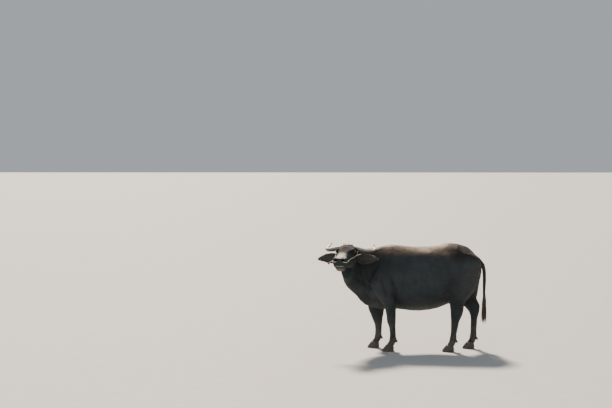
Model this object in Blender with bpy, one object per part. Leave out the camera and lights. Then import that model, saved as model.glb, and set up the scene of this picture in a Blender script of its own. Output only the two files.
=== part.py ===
"""A water buffalo cow at life size, standing side on with her head raised and turned to her left.

Metres, +Z up. She faces -X, so her left side is at -Y, and her claws stand on z = 0. The flesh is
built whole, from lofted masses that are remeshed into one skin, and then parted by thin cuts into the
torso, neck, head and legs. Horns, claws, eyes, ears, tail and the nose rope are pieces of their own.
"""

import math

import bmesh
import bpy
import numpy as np
from mathutils import Matrix, Vector
from mathutils.bvhtree import BVHTree

# Driving dimensions of the animal, in metres
WITHERS_HEIGHT = 1.275
TRUNK_LENGTH = 1.375
CHEST_X = -0.42
EAR_LENGTH = 0.268
EAR_WIDTH = 0.112
EYE_RADIUS = 0.021
HORN_ROOT_RADIUS = 0.031
HORN_TIP_RADIUS = 0.007
CLAW_WIDTH = 0.056
CLAW_HEIGHT = 0.066
DEWCLAW_LENGTH = 0.034
ROPE_RADIUS = 0.0045
SWITCH_LENGTH = 0.26
SWITCH_LOCKS = 14
FORELOCK_LOCKS = 9

# The pose of the head: turned from straight ahead towards her left, dipped below level, and rolled
HEAD_TURN = math.radians(79.5)
HEAD_DIP = math.radians(8)
HEAD_ROLL = math.radians(-1.5)
HEAD_PLACE = Vector((-0.641, -0.200, 1.282))

# The gap that touching pieces keep, and the fineness of the remeshed flesh
GAP = 0.0003
SOCKET = 0.0004
BODY_VOXEL = 0.0105
HEAD_VOXEL = 0.0062
BODY_TRIANGLES = 4000
HEAD_TRIANGLES = 1900

# Which way each side lies: along Y in the world, and along Y in the head's own frame
LEFT, RIGHT = -1, 1
HEAD_SIDES = {"left": 1, "right": -1}
UP = Vector((0, 0, 1))
FORWARD = Vector((-1, 0, 0))

# Trunk stations: share of its length, then top, widest level and underline as shares of the withers
# height, half width in metres, and how square the upper and lower halves of the section are.
TRUNK = (
    (0.015, 0.905, 0.670, 0.425, 0.130, 2.0, 2.0),
    (0.087, 0.972, 0.672, 0.388, 0.180, 1.8, 1.9),
    (0.190, 1.006, 0.672, 0.384, 0.212, 1.7, 1.9),
    (0.262, 1.003, 0.670, 0.386, 0.240, 1.7, 2.0),
    (0.349, 0.993, 0.655, 0.380, 0.285, 1.8, 2.1),
    (0.451, 0.992, 0.640, 0.371, 0.325, 1.9, 2.1),
    (0.553, 0.994, 0.635, 0.386, 0.335, 2.0, 2.1),
    (0.640, 1.002, 0.650, 0.426, 0.312, 2.1, 2.1),
    (0.727, 1.020, 0.680, 0.474, 0.272, 2.1, 2.0),
    (0.785, 1.039, 0.706, 0.522, 0.245, 2.0, 2.0),
    (0.858, 1.008, 0.722, 0.564, 0.225, 2.0, 2.0),
    (0.931, 0.935, 0.722, 0.600, 0.185, 1.9, 2.0),
    (0.985, 0.850, 0.722, 0.650, 0.110, 2.0, 2.0),
)

# Neck stations along its bent centre line: x, y, z of the widest level, half width, height above it,
# depth below it, and the squareness of the crest and of the hanging lower edge.
NECK = (
    (-0.200, 0.000, 0.930, 0.185, 0.340, 0.420, 1.8, 1.9),
    (-0.345, 0.000, 0.935, 0.158, 0.318, 0.420, 1.8, 1.6),
    (-0.460, -0.030, 0.965, 0.128, 0.284, 0.330, 1.9, 1.5),
    (-0.556, -0.090, 1.005, 0.112, 0.248, 0.285, 2.0, 1.6),
    (-0.618, -0.170, 1.050, 0.106, 0.208, 0.260, 2.0, 1.8),
    (-0.648, -0.255, 1.085, 0.096, 0.158, 0.210, 2.0, 2.0),
)

# Head stations in the head's own frame: distance from the nape towards the muzzle, height of the
# widest level, half width, height of the brow line above it, depth of the jaw below it, squareness.
HEAD = (
    (-0.015, -0.110, 0.078, 0.105, 0.095, 2.2, 2.0),
    (0.040, -0.100, 0.104, 0.112, 0.130, 2.6, 2.2),
    (0.110, -0.088, 0.116, 0.102, 0.158, 2.8, 2.3),
    (0.180, -0.080, 0.114, 0.086, 0.160, 2.8, 2.4),
    (0.250, -0.082, 0.096, 0.074, 0.140, 2.6, 2.4),
    (0.320, -0.090, 0.079, 0.066, 0.118, 2.5, 2.4),
    (0.385, -0.100, 0.075, 0.062, 0.104, 2.5, 2.5),
    (0.430, -0.108, 0.084, 0.064, 0.100, 2.6, 2.6),
    (0.470, -0.115, 0.087, 0.064, 0.092, 2.6, 2.6),
    (0.497, -0.120, 0.075, 0.056, 0.076, 2.4, 2.4),
    (0.510, -0.122, 0.048, 0.036, 0.050, 2.2, 2.2),
)

# Fore leg stations: x, y out from the middle, z, half width, front and rear radius.
NEAR_FORE_LEG = (
    (-0.215, 0.150, 1.000, 0.055, 0.095, 0.120),
    (-0.262, 0.182, 0.820, 0.070, 0.115, 0.135),
    (-0.175, 0.190, 0.655, 0.068, 0.098, 0.104),
    (-0.142, 0.186, 0.550, 0.060, 0.074, 0.074),
    (-0.130, 0.178, 0.440, 0.051, 0.060, 0.060),
    (-0.126, 0.174, 0.365, 0.053, 0.060, 0.056),
    (-0.118, 0.172, 0.300, 0.041, 0.043, 0.045),
    (-0.112, 0.170, 0.220, 0.036, 0.037, 0.042),
    (-0.112, 0.170, 0.140, 0.045, 0.043, 0.048),
    (-0.126, 0.170, 0.098, 0.043, 0.041, 0.041),
    (-0.144, 0.170, 0.062, 0.053, 0.052, 0.047),
)
FAR_FORE_LEG = (
    (-0.215, 0.150, 1.000, 0.055, 0.095, 0.120),
    (-0.290, 0.182, 0.820, 0.070, 0.115, 0.135),
    (-0.300, 0.190, 0.655, 0.068, 0.125, 0.132),
    (-0.316, 0.186, 0.550, 0.060, 0.119, 0.112),
    (-0.308, 0.178, 0.440, 0.051, 0.092, 0.090),
    (-0.300, 0.174, 0.365, 0.053, 0.068, 0.070),
    (-0.294, 0.172, 0.300, 0.041, 0.049, 0.054),
    (-0.291, 0.170, 0.220, 0.036, 0.040, 0.046),
    (-0.296, 0.170, 0.140, 0.045, 0.043, 0.048),
    (-0.310, 0.170, 0.098, 0.043, 0.041, 0.041),
    (-0.328, 0.170, 0.062, 0.053, 0.052, 0.047),
)

# Hind leg stations, in the same order, from the croup to the claws.
NEAR_HIND_LEG = (
    (0.765, 0.130, 1.090, 0.105, 0.130, 0.135),
    (0.745, 0.160, 0.950, 0.108, 0.180, 0.185),
    (0.715, 0.185, 0.820, 0.095, 0.165, 0.165),
    (0.668, 0.196, 0.705, 0.078, 0.108, 0.130),
    (0.655, 0.188, 0.600, 0.062, 0.088, 0.102),
    (0.654, 0.177, 0.520, 0.050, 0.078, 0.082),
    (0.652, 0.170, 0.450, 0.049, 0.074, 0.070),
    (0.638, 0.165, 0.370, 0.042, 0.052, 0.056),
    (0.626, 0.163, 0.280, 0.037, 0.041, 0.046),
    (0.618, 0.161, 0.200, 0.036, 0.039, 0.043),
    (0.612, 0.160, 0.140, 0.045, 0.045, 0.048),
    (0.598, 0.160, 0.098, 0.043, 0.041, 0.041),
    (0.579, 0.160, 0.062, 0.052, 0.052, 0.047),
)
FAR_HIND_LEG = (
    (0.765, 0.130, 1.090, 0.105, 0.130, 0.135),
    (0.755, 0.160, 0.950, 0.108, 0.180, 0.180),
    (0.742, 0.185, 0.820, 0.095, 0.165, 0.160),
    (0.740, 0.196, 0.705, 0.078, 0.120, 0.130),
    (0.792, 0.188, 0.600, 0.062, 0.090, 0.092),
    (0.852, 0.177, 0.525, 0.050, 0.072, 0.066),
    (0.884, 0.170, 0.455, 0.049, 0.066, 0.060),
    (0.882, 0.165, 0.370, 0.042, 0.045, 0.048),
    (0.878, 0.163, 0.280, 0.037, 0.040, 0.042),
    (0.874, 0.161, 0.200, 0.036, 0.039, 0.041),
    (0.870, 0.160, 0.140, 0.045, 0.045, 0.048),
    (0.856, 0.160, 0.098, 0.043, 0.041, 0.041),
    (0.837, 0.160, 0.062, 0.052, 0.052, 0.047),
)

# The tendon behind each gaskin and the point of the hock: x, y, z and radius.
NEAR_HOCK = ((0.722, 0.178, 0.640, 0.028), (0.722, 0.172, 0.515, 0.024), (0.690, 0.168, 0.410, 0.024))
FAR_HOCK = ((0.866, 0.178, 0.640, 0.030), (0.936, 0.172, 0.520, 0.024), (0.914, 0.168, 0.410, 0.024))

# The muscle from the pin bone down the back of each thigh: x, y, z, half width, front, rear radius.
NEAR_BUTTOCK = (
    (0.925, 0.090, 1.030, 0.045, 0.050, 0.040),
    (0.885, 0.112, 0.900, 0.070, 0.090, 0.062),
    (0.820, 0.140, 0.770, 0.066, 0.090, 0.066),
    (0.740, 0.165, 0.640, 0.045, 0.060, 0.045),
)
FAR_BUTTOCK = (
    (0.925, 0.090, 1.030, 0.045, 0.050, 0.040),
    (0.898, 0.112, 0.900, 0.070, 0.090, 0.060),
    (0.880, 0.140, 0.770, 0.066, 0.090, 0.058),
    (0.868, 0.165, 0.640, 0.045, 0.060, 0.054),
)

# Each leg's stations, the side it is on, and the arch that parts it from the torso: the x of its
# middle, its half width, the z of its crown, and how far out from the middle its inner wall stands.
LEGS = {
    "foreleg_left": (LEFT, NEAR_FORE_LEG, (-0.190, 0.150, 0.900, 0.088)),
    "foreleg_right": (RIGHT, FAR_FORE_LEG, (-0.290, 0.160, 0.900, 0.088)),
    "hindleg_left": (LEFT, NEAR_HIND_LEG, (0.768, 0.238, 1.000, 0.070)),
    "hindleg_right": (RIGHT, FAR_HIND_LEG, (0.780, 0.238, 1.000, 0.070)),
}

# The tail: x, y, z and radius down to its hairy end.
TAIL = (
    (0.890, 0.000, 1.100, 0.038),
    (0.955, 0.000, 1.062, 0.033),
    (0.990, -0.002, 0.990, 0.028),
    (0.998, -0.004, 0.880, 0.023),
    (0.996, -0.006, 0.760, 0.020),
    (0.994, -0.006, 0.660, 0.017),
    (0.996, -0.006, 0.560, 0.014),
)
DOCK = ((0.820, 0.000, 1.130, 0.070), (0.890, 0.000, 1.098, 0.058), (0.945, 0.000, 1.064, 0.042))
SWITCH_TOP_Z = 0.640

# Horn centre line in the head's frame: towards the muzzle, outwards, up, and the share of its taper.
HORN = (
    (0.062, 0.075, -0.020, 0.00),
    (0.054, 0.130, -0.034, 0.10),
    (0.026, 0.205, -0.056, 0.30),
    (-0.030, 0.264, -0.069, 0.50),
    (-0.095, 0.292, -0.070, 0.68),
    (-0.155, 0.290, -0.062, 0.84),
    (-0.200, 0.276, -0.044, 0.94),
    (-0.225, 0.262, -0.026, 1.00),
)

# The ears: their root in the head's frame, and how far each is turned back and drooped
EAR_ROOT = Vector((0.046, 0.112, -0.143))
EAR_POSES = {1: (math.radians(23.5), math.radians(6)), -1: (math.radians(-4), math.radians(6.5))}
EYE_PLACE = Vector((0.190, 0.0985, -0.040))
MOUTH_CORNER = Vector((0.385, 0.078, -0.152))

# Where the nose rope runs on her left side, in the head's frame, from the middle of the nose on.
# The first points of its fine course lie inside the nose and are not pushed out of it.
ROPE_GUIDE = (
    (0.476, 0.000, -0.098),
    (0.486, 0.024, -0.097),
    (0.503, 0.042, -0.097),
    (0.498, 0.070, -0.098),
    (0.466, 0.094, -0.100),
    (0.400, 0.086, -0.099),
    (0.300, 0.090, -0.098),
    (0.225, 0.115, -0.095),
    (0.160, 0.127, -0.090),
    (0.100, 0.126, -0.084),
    (0.046, 0.118, -0.077),
    (-0.010, 0.100, -0.068),
    (-0.052, 0.074, -0.060),
    (-0.074, 0.036, -0.052),
    (-0.076, 0.000, -0.049),
)
ROPE_STEPS = 4
ROPE_HIDDEN = 9
TOGGLE_END = (0.468, -0.140, -0.131)

# Where the neck meets the torso: a point of the plane between them, and which way the neck lies
SHOULDER_POINT = (-0.350, 0, 0.900)
SHOULDER_NORMAL = (-1, 0, 0.20)

# Each kind of surface: material name, linear base colour and roughness
FINISHES = {
    "skin": ("skin", (0.030, 0.030, 0.034, 1), 0.60),
    "horn": ("horn", (0.170, 0.150, 0.130, 1), 0.45),
    "claw": ("claw", (0.050, 0.045, 0.042, 1), 0.45),
    "dewclaw": ("claw", (0.050, 0.045, 0.042, 1), 0.45),
    "switch": ("hair", (0.022, 0.016, 0.013, 1), 0.80),
    "eye": ("eye", (0.020, 0.012, 0.010, 1), 0.10),
    "nose": ("rope", (0.420, 0.400, 0.300, 1), 0.85),
    "bead": ("bead", (0.480, 0.035, 0.050, 1), 0.50),
}


# Scene and material helpers


def clear_scene():
    for obj in list(bpy.data.objects):
        bpy.data.objects.remove(obj)


def material(name, colour, roughness):
    made = bpy.data.materials.get(name)
    if made is None:
        made = bpy.data.materials.new(name)
        made.use_nodes = True
        shader = made.node_tree.nodes["Principled BSDF"]
        shader.inputs["Base Color"].default_value = colour
        shader.inputs["Roughness"].default_value = roughness
        shader.inputs["Metallic"].default_value = 0.0
    return made


def add_object(name, mesh):
    obj = bpy.data.objects.new(name, mesh)
    bpy.context.scene.collection.objects.link(obj)
    return obj


def finish_node(obj, name):
    """Names a finished piece, gives it its material and shades it smooth but for sharp edges."""
    kind = name.split("_")[0] if name != "tail_switch" else "switch"
    obj.name = name
    obj.data.name = name
    obj.data.materials.clear()
    obj.data.materials.append(material(*FINISHES.get(kind, FINISHES["skin"])))
    obj.data.shade_smooth()
    obj.data.set_sharp_from_angle(angle=math.radians(40))
    return obj


def drop(*objects):
    for obj in objects:
        bpy.data.objects.remove(obj)


def bake(obj):
    """Replaces the object's mesh with the one its modifiers make."""
    graph = bpy.context.evaluated_depsgraph_get()
    mesh = bpy.data.meshes.new_from_object(obj.evaluated_get(graph))
    obj.modifiers.clear()
    obj.data = mesh
    return obj


def duplicate(obj, name):
    return add_object(name, obj.data.copy())


# Curves and lofts


def through(rows, steps):
    """Points on a Catmull-Rom curve through the rows, with this many steps in each span."""
    rows = np.asarray(rows, float)
    padded = np.vstack([2 * rows[0] - rows[1], rows, 2 * rows[-1] - rows[-2]])
    t = (np.arange(steps) / steps)[:, None]
    spans = []
    for a, b, c, d in zip(padded, padded[1:], padded[2:], padded[3:]):
        curve = 2 * b + (c - a) * t + (2 * a - 5 * b + 4 * c - d) * t**2 + (3 * b - a - 3 * c + d) * t**3
        spans.append(curve / 2)
    return np.vstack([*spans, rows[-1:]])


def unit(vectors):
    return vectors / np.linalg.norm(vectors, axis=-1, keepdims=True)


def frames_along(centres, reference):
    """Side and up vectors across a path, with up as near the reference direction as it can be."""
    side = unit(np.cross(unit(np.gradient(centres, axis=0)), np.asarray(reference, float)))
    return side, unit(np.cross(side, unit(np.gradient(centres, axis=0))))


def superellipse(sides, wide, high, low, square_up, square_low):
    """A closed section: half width, height above and depth below its widest level, and squareness."""
    angle = np.arange(sides) / sides * 2 * math.pi
    across, along = np.cos(angle), np.sin(angle)
    power = 2 / np.where(along >= 0, square_up, square_low)
    reach = np.where(along >= 0, high, low)
    return np.sign(across) * np.abs(across) ** power * wide, np.sign(along) * np.abs(along) ** power * reach


def mesh_of_rings(name, rings):
    """A closed mesh of triangles through rings with the same number of points, capped flat."""
    count, sides = len(rings), len(rings[0])
    faces = []
    for i in range(count - 1):
        for j in range(sides):
            k = (j + 1) % sides
            faces.append((i * sides + j, i * sides + k, (i + 1) * sides + k))
            faces.append((i * sides + j, (i + 1) * sides + k, (i + 1) * sides + j))
    faces.append(tuple(range(sides))[::-1])
    faces.append(tuple((count - 1) * sides + j for j in range(sides)))
    mesh = bpy.data.meshes.new(name)
    mesh.from_pydata([tuple(p) for ring in rings for p in ring], [], faces)
    edit = bmesh.new()
    edit.from_mesh(mesh)
    bmesh.ops.recalc_face_normals(edit, faces=edit.faces)
    edit.to_mesh(mesh)
    edit.free()
    return add_object(name, mesh)


def loft(name, rows, reference, steps=3, sides=24):
    """A closed body through stations of x, y, z, half width, height, depth and two squarenesses."""
    rows = through(rows, steps)
    side, up = frames_along(rows[:, :3], reference)
    rings = []
    for row, s, u in zip(rows, side, up):
        across, along = superellipse(sides, *row[3:8])
        rings.append(row[:3] + across[:, None] * s + along[:, None] * u)
    return mesh_of_rings(name, rings)


def limb(name, stations, side, steps=3, sides=20):
    """A loft down a leg, mirrored to its side, from stations without squareness."""
    rows = [(x, side * y, z, wide, front, rear, 2.0, 2.0) for x, y, z, wide, front, rear in stations]
    return loft(name, rows, FORWARD, steps, sides)


def cord(name, stations, reference, steps=3, sides=10, grow=0.0):
    """A round tube of varying radius through stations of x, y, z and radius, grown all over."""
    rows = np.array([(*row[:3], *[row[3] + grow] * 3, 2.0, 2.0) for row in stations])
    rows[0, :3] += unit(rows[0, :3] - rows[1, :3]) * grow
    rows[-1, :3] += unit(rows[-1, :3] - rows[-2, :3]) * grow
    return loft(name, rows, reference, steps, sides)


def ball(name, centre, radii, segments=20):
    """An ellipsoid with its poles along Z."""
    edit = bmesh.new()
    bmesh.ops.create_uvsphere(edit, u_segments=segments, v_segments=segments // 2, radius=1)
    edit.transform(Matrix.Translation(centre) @ Matrix.Diagonal((*radii, 1)))
    mesh = bpy.data.meshes.new(name)
    edit.to_mesh(mesh)
    edit.free()
    return add_object(name, mesh)


# Fusing, thinning and parting


def fuse(name, pieces, voxel, smoothing):
    """One skin over overlapping pieces: they are joined, remeshed and smoothed."""
    edit = bmesh.new()
    for piece in pieces:
        edit.from_mesh(piece.data)
    mesh = bpy.data.meshes.new(name)
    edit.to_mesh(mesh)
    edit.free()
    drop(*pieces)
    obj = add_object(name, mesh)
    remesh = obj.modifiers.new("Remesh", "REMESH")
    remesh.mode = "VOXEL"
    remesh.voxel_size = voxel
    smooth = obj.modifiers.new("Smooth", "SMOOTH")
    smooth.factor = 0.5
    smooth.iterations = smoothing
    return bake(obj)


def thin(obj, triangles):
    """Collapses edges until about this many triangles are left."""
    obj.data.calc_loop_triangles()
    decimate = obj.modifiers.new("Decimate", "DECIMATE")
    decimate.ratio = triangles / len(obj.data.loop_triangles)
    decimate.use_collapse_triangulate = True
    return bake(obj)


def keep_largest(obj):
    """Keeps the largest closed surface, which fills sealed hollows and drops loose scraps."""
    edit = bmesh.new()
    edit.from_mesh(obj.data)
    seen, groups = set(), []
    for start in edit.verts:
        if start in seen:
            continue
        group, queue = [], [start]
        seen.add(start)
        while queue:
            vert = queue.pop()
            group.append(vert)
            for edge in vert.link_edges:
                other = edge.other_vert(vert)
                if other not in seen:
                    seen.add(other)
                    queue.append(other)
        groups.append(group)
    largest = max(groups, key=len)
    loose = [vert for group in groups if group is not largest for vert in group]
    bmesh.ops.delete(edit, geom=loose, context="VERTS")
    edit.to_mesh(obj.data)
    edit.free()
    return obj


def combine(obj, others, operation):
    """Applies one Boolean of the object with a collection of closed meshes, and removes them."""
    group = bpy.data.collections.new("operands")
    bpy.context.scene.collection.children.link(group)
    for other in others:
        bpy.context.scene.collection.objects.unlink(other)
        group.objects.link(other)
    boolean = obj.modifiers.new("Boolean", "BOOLEAN")
    boolean.operation = operation
    boolean.operand_type = "COLLECTION"
    boolean.collection = group
    bake(obj)
    drop(*others)
    bpy.data.collections.remove(group)
    return keep_largest(obj)


def cut(obj, *cutters):
    return combine(obj, cutters, "DIFFERENCE")


def join(obj, *pieces):
    return combine(obj, pieces, "UNION")


def carve(obj, *cutters):
    """Cuts one closed mesh after another with the solver that copes with many small facets."""
    for cutter in cutters:
        boolean = obj.modifiers.new("Boolean", "BOOLEAN")
        boolean.operation = "DIFFERENCE"
        boolean.solver = "MANIFOLD"
        boolean.object = cutter
        bake(obj)
    drop(*cutters)
    return keep_largest(obj)


def half_space(name, point, normal, reach=1.5):
    """A large box that fills the side of a plane that its normal points to."""
    edit = bmesh.new()
    bmesh.ops.create_cube(edit, size=2 * reach)
    turn = Vector(normal).to_track_quat("Z", "Y").to_matrix().to_4x4()
    edit.transform(Matrix.Translation(point) @ turn @ Matrix.Translation((0, 0, reach)))
    mesh = bpy.data.meshes.new(name)
    edit.to_mesh(mesh)
    edit.free()
    return add_object(name, mesh)


def leg_region(name, side, arch, grow=0.0):
    """The arch-shaped block that holds one leg: round at its crown, flat at its inner wall."""
    middle, half, crown, inner = arch
    half, crown, inner = half + grow, crown + grow, inner - grow
    angle = np.linspace(0, math.pi, 17)
    xs = np.concatenate([middle + half * np.cos(angle), [middle - half, middle + half]])
    zs = np.concatenate([crown - half + half * np.sin(angle), [-0.3, -0.3]])
    rings = [np.column_stack([xs, np.full_like(xs, side * y), zs]) for y in (inner, inner + 0.6)]
    return mesh_of_rings(name, rings)


# Modelling strokes on a fine mesh


def read_points(obj):
    points = np.empty(len(obj.data.vertices) * 3, np.float32)
    obj.data.vertices.foreach_get("co", points)
    return points.reshape(-1, 3).astype(float)


def read_normals(obj):
    normals = np.empty(len(obj.data.vertices) * 3, np.float32)
    obj.data.vertices.foreach_get("normal", normals)
    return normals.reshape(-1, 3).astype(float)


def distance_to_path(points, path):
    """Distance of each point to a chain of straight runs, in as many dimensions as they have."""
    path = np.asarray(path, float)
    nearest = np.full(len(points), np.inf)
    for a, b in zip(path, path[1:]):
        along = np.clip((points - a) @ (b - a) / ((b - a) @ (b - a)), 0, 1)
        nearest = np.minimum(nearest, np.linalg.norm(points - a - along[:, None] * (b - a), axis=1))
    return nearest


def stroke_flanks(obj, strokes):
    """Raises or presses soft lines on the flanks, each drawn in side view as points of x and z."""
    points, normals = read_points(obj), read_normals(obj)
    for sides, width, height, path in strokes:
        near = np.exp(-((distance_to_path(points[:, [0, 2]], path) / width) ** 2))
        for side in sides:
            facing = np.clip(side * points[:, 1] / 0.06, 0, 1) * np.clip(side * normals[:, 1] * 2, 0, 1)
            points += normals * (height * near * facing)[:, None]
    obj.data.vertices.foreach_set("co", points.astype(np.float32).ravel())
    obj.data.update()
    return obj


def stroke_head(obj, strokes):
    """Raises or presses soft lines on both sides of the head, drawn in the head's own frame."""
    points, normals = read_points(obj), read_normals(obj)
    for width, height, path in strokes:
        for side in HEAD_SIDES.values():
            mirrored = [(x, side * y, z) for x, y, z in path]
            near = np.exp(-((distance_to_path(points, mirrored) / width) ** 2))
            points += normals * (height * near)[:, None]
    obj.data.vertices.foreach_set("co", points.astype(np.float32).ravel())
    obj.data.update()
    return obj


# The flesh of the body


def head_frame():
    """The matrix from the head's frame (+X to the muzzle, +Y to her left, +Z up) to the world."""
    facing = Matrix.Rotation(math.pi + HEAD_TURN, 4, "Z")
    dip = Matrix.Rotation(HEAD_DIP, 4, "Y")
    roll = Matrix.Rotation(HEAD_ROLL, 4, "X")
    return Matrix.Translation(HEAD_PLACE) @ facing @ dip @ roll


def trunk():
    rows = []
    for share, top, widest, bottom, wide, square_up, square_low in TRUNK:
        x = CHEST_X + share * TRUNK_LENGTH
        level = widest * WITHERS_HEIGHT
        above, below = top * WITHERS_HEIGHT - level, level - bottom * WITHERS_HEIGHT
        rows.append((x, 0, level, wide, above, below, square_up, square_low))
    return loft("trunk", rows, UP, steps=4, sides=40)


def neck():
    return loft("neck", NECK, UP, steps=4, sides=32)


def hips():
    """The bones of the hips: from the spine out to the hook, and back from there to the pin."""
    made = []
    for side in (LEFT, RIGHT):
        wing = ((0.640, 0.030, 1.245, 0.055), (0.650, 0.125, 1.200, 0.062), (0.655, 0.188, 1.150, 0.054))
        rump = ((0.655, 0.188, 1.150, 0.054), (0.770, 0.150, 1.110, 0.074), (0.925, 0.090, 1.035, 0.048))
        made.append(ball("rump", (0.760, side * 0.130, 1.040), (0.200, 0.120, 0.160)))
        for rows in (wing, rump):
            made.append(cord("hip", [(x, side * y, z, r) for x, y, z, r in rows], UP, steps=5, sides=16))
    return made


def shoulders():
    """The blades, from the withers down to the points of the shoulder, and the mass behind the arm."""
    made = []
    for side in (LEFT, RIGHT):
        blade = (
            (-0.140, 0.075, 1.190, 0.045, 0.070, 0.080),
            (-0.190, 0.130, 1.050, 0.055, 0.090, 0.110),
            (-0.275, 0.165, 0.900, 0.060, 0.095, 0.120),
            (-0.345, 0.150, 0.780, 0.060, 0.070, 0.080),
        )
        made.append(limb("blade", blade, side))
        made.append(ball("triceps", (-0.155, side * 0.185, 0.760), (0.115, 0.070, 0.120)))
    return made


def udder():
    """A small udder between the thighs, with four teats."""
    made = [ball("udder", (0.640, 0, 0.640), (0.120, 0.075, 0.085))]
    for x in (0.598, 0.672):
        for y in (-0.034, 0.034):
            teat = ((x, y, 0.600, 0.017), (x, y, 0.555, 0.014), (x, y * 1.1, 0.528, 0.012))
            made.append(cord("teat", teat, FORWARD))
    return made


def lower_leg_details(side, stations):
    """Knobs over the knee or hock and the fetlock, so that the joints read as joints."""
    by_height = {round(row[2], 3): row for row in stations}
    x, y, z = by_height[0.140][:3]
    return [ball("fetlock", (x + 0.012, side * y, z - 0.008), (0.044, 0.043, 0.034))]


BODY_STROKES = (
    # The hollow of the flank, under the loin and in front of the hip
    ((LEFT, RIGHT), 0.070, -0.024, ((0.490, 1.100), (0.575, 1.075))),
    ((LEFT, RIGHT), 0.045, -0.010, ((0.560, 1.060), (0.590, 0.960))),
    # The edge of the loin, from the last rib to the hook bone
    ((LEFT, RIGHT), 0.035, 0.010, ((0.300, 1.165), (0.500, 1.170), (0.640, 1.180))),
    # The groove behind the arm and elbow
    ((LEFT, RIGHT), 0.045, -0.014, ((-0.030, 1.080), (-0.020, 0.860), (-0.045, 0.660))),
    # The spine of the shoulder blade and the groove in front of it
    ((LEFT, RIGHT), 0.024, 0.009, ((-0.150, 1.170), (-0.240, 0.960), (-0.300, 0.850))),
    ((LEFT, RIGHT), 0.040, -0.012, ((-0.260, 1.160), (-0.350, 0.960), (-0.410, 0.860))),
    # The fold of skin from the flank to the stifle
    ((LEFT, RIGHT), 0.032, 0.014, ((0.470, 0.640), (0.545, 0.690), (0.600, 0.780))),
    # The groove between the two muscles of the thigh
    ((LEFT,), 0.026, -0.011, ((0.885, 0.990), (0.835, 0.830), (0.765, 0.680))),
    ((RIGHT,), 0.026, -0.011, ((0.885, 0.990), (0.850, 0.830), (0.840, 0.680))),
    # The hollow between the hook bone and the pin bone
    ((LEFT, RIGHT), 0.050, -0.007, ((0.760, 1.120), (0.850, 1.070))),
    ((LEFT, RIGHT), 0.035, 0.012, ((0.915, 1.030), (0.935, 1.020))),
    # The groove of the neck above the windpipe
    ((LEFT, RIGHT), 0.035, -0.012, ((-0.390, 0.780), (-0.500, 0.860), (-0.600, 0.960))),
)


def make_body(frame):
    """Trunk, neck and legs as one fine skin, modelled and then thinned, with the skull to blend into."""
    pieces = [trunk(), neck(), *hips(), *shoulders(), *udder()]
    pieces.append(cord("dock", DOCK, FORWARD, steps=4, sides=16))
    for side, stations, _ in LEGS.values():
        pieces.append(limb("leg", stations, side, steps=4))
        pieces += lower_leg_details(side, stations)
    for side, hock, buttock in ((LEFT, NEAR_HOCK, NEAR_BUTTOCK), (RIGHT, FAR_HOCK, FAR_BUTTOCK)):
        rows = [(x, side * y, z, radius) for x, y, z, radius in hock]
        pieces.append(cord("hock", rows, FORWARD, steps=5, sides=16))
        pieces.append(limb("buttock", buttock, side))
    pieces += place(frame, *skull_pieces())
    body = fuse("body", pieces, BODY_VOXEL, 14)
    stroke_flanks(body, BODY_STROKES)
    cut(body, nape_side(frame, 0.09, 1))
    return thin(body, BODY_TRIANGLES)


# The head


HEAD_STROKES = (
    # The brow over each eye, the ridge from the eye to the cheek, and the cheek itself
    (0.020, 0.007, ((0.150, 0.098, -0.012), (0.190, 0.100, -0.008), (0.225, 0.090, -0.018))),
    (0.016, 0.006, ((0.215, 0.095, -0.070), (0.300, 0.074, -0.090))),
    (0.045, 0.010, ((0.120, 0.100, -0.150), (0.180, 0.095, -0.160))),
    # The hollow under the eye and the flat between the brows
    (0.022, -0.006, ((0.235, 0.085, -0.045), (0.300, 0.060, -0.045))),
    (0.040, -0.006, ((0.200, 0.000, 0.006), (0.260, 0.000, -0.008))),
    # The lower edge of the jaw, and the hollow between its branches
    (0.016, 0.007, ((0.130, 0.070, -0.240), (0.250, 0.058, -0.220), (0.360, 0.045, -0.205))),
    (0.026, -0.012, ((0.180, 0.000, -0.240), (0.320, 0.000, -0.212))),
    # The wing of each nostril, the upper lip and the chin
    (0.015, 0.008, ((0.440, 0.074, -0.070), (0.485, 0.064, -0.068), (0.500, 0.062, -0.090))),
    (0.014, 0.005, ((0.400, 0.082, -0.138), (0.460, 0.082, -0.138), (0.499, 0.044, -0.138))),
    (0.022, 0.006, ((0.440, 0.045, -0.204), (0.470, 0.025, -0.208))),
)


def eye(side, grow=0.0):
    centre = (EYE_PLACE.x, side * EYE_PLACE.y, EYE_PLACE.z)
    return ball("eye", centre, [EYE_RADIUS + grow] * 3, segments=14)


def lids(side):
    """Two thick rims round the eye: arcs that meet at its corners, the upper one heavier."""
    rims = []
    for lift, radius in ((0.0125, 0.0062), (-0.0125, 0.0048)):
        rows = []
        for share in np.linspace(0, 1, 7):
            x = EYE_PLACE.x + 0.0255 * math.cos(math.pi * share)
            z = EYE_PLACE.z + lift * math.sin(math.pi * share) - 0.003 * (2 * share - 1)
            out = EYE_PLACE.y + 0.0195 - 0.012 * (2 * share - 1) ** 2
            rows.append((x, side * out, z, radius * (0.6 + 0.4 * math.sin(math.pi * share))))
        rims.append(cord("lid", rows, UP, steps=1, sides=6))
    return rims


def nostril(side):
    """A comma-shaped pocket that slants down and in towards the middle of the muzzle."""
    rows = (
        (0.455, 0.042, -0.088, 0.004),
        (0.480, 0.046, -0.086, 0.012),
        (0.503, 0.042, -0.085, 0.015),
        (0.535, 0.036, -0.086, 0.016),
    )
    return cord("nostril", [(x, side * y, z, r) for x, y, z, r in rows], UP, steps=2, sides=10)


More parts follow.
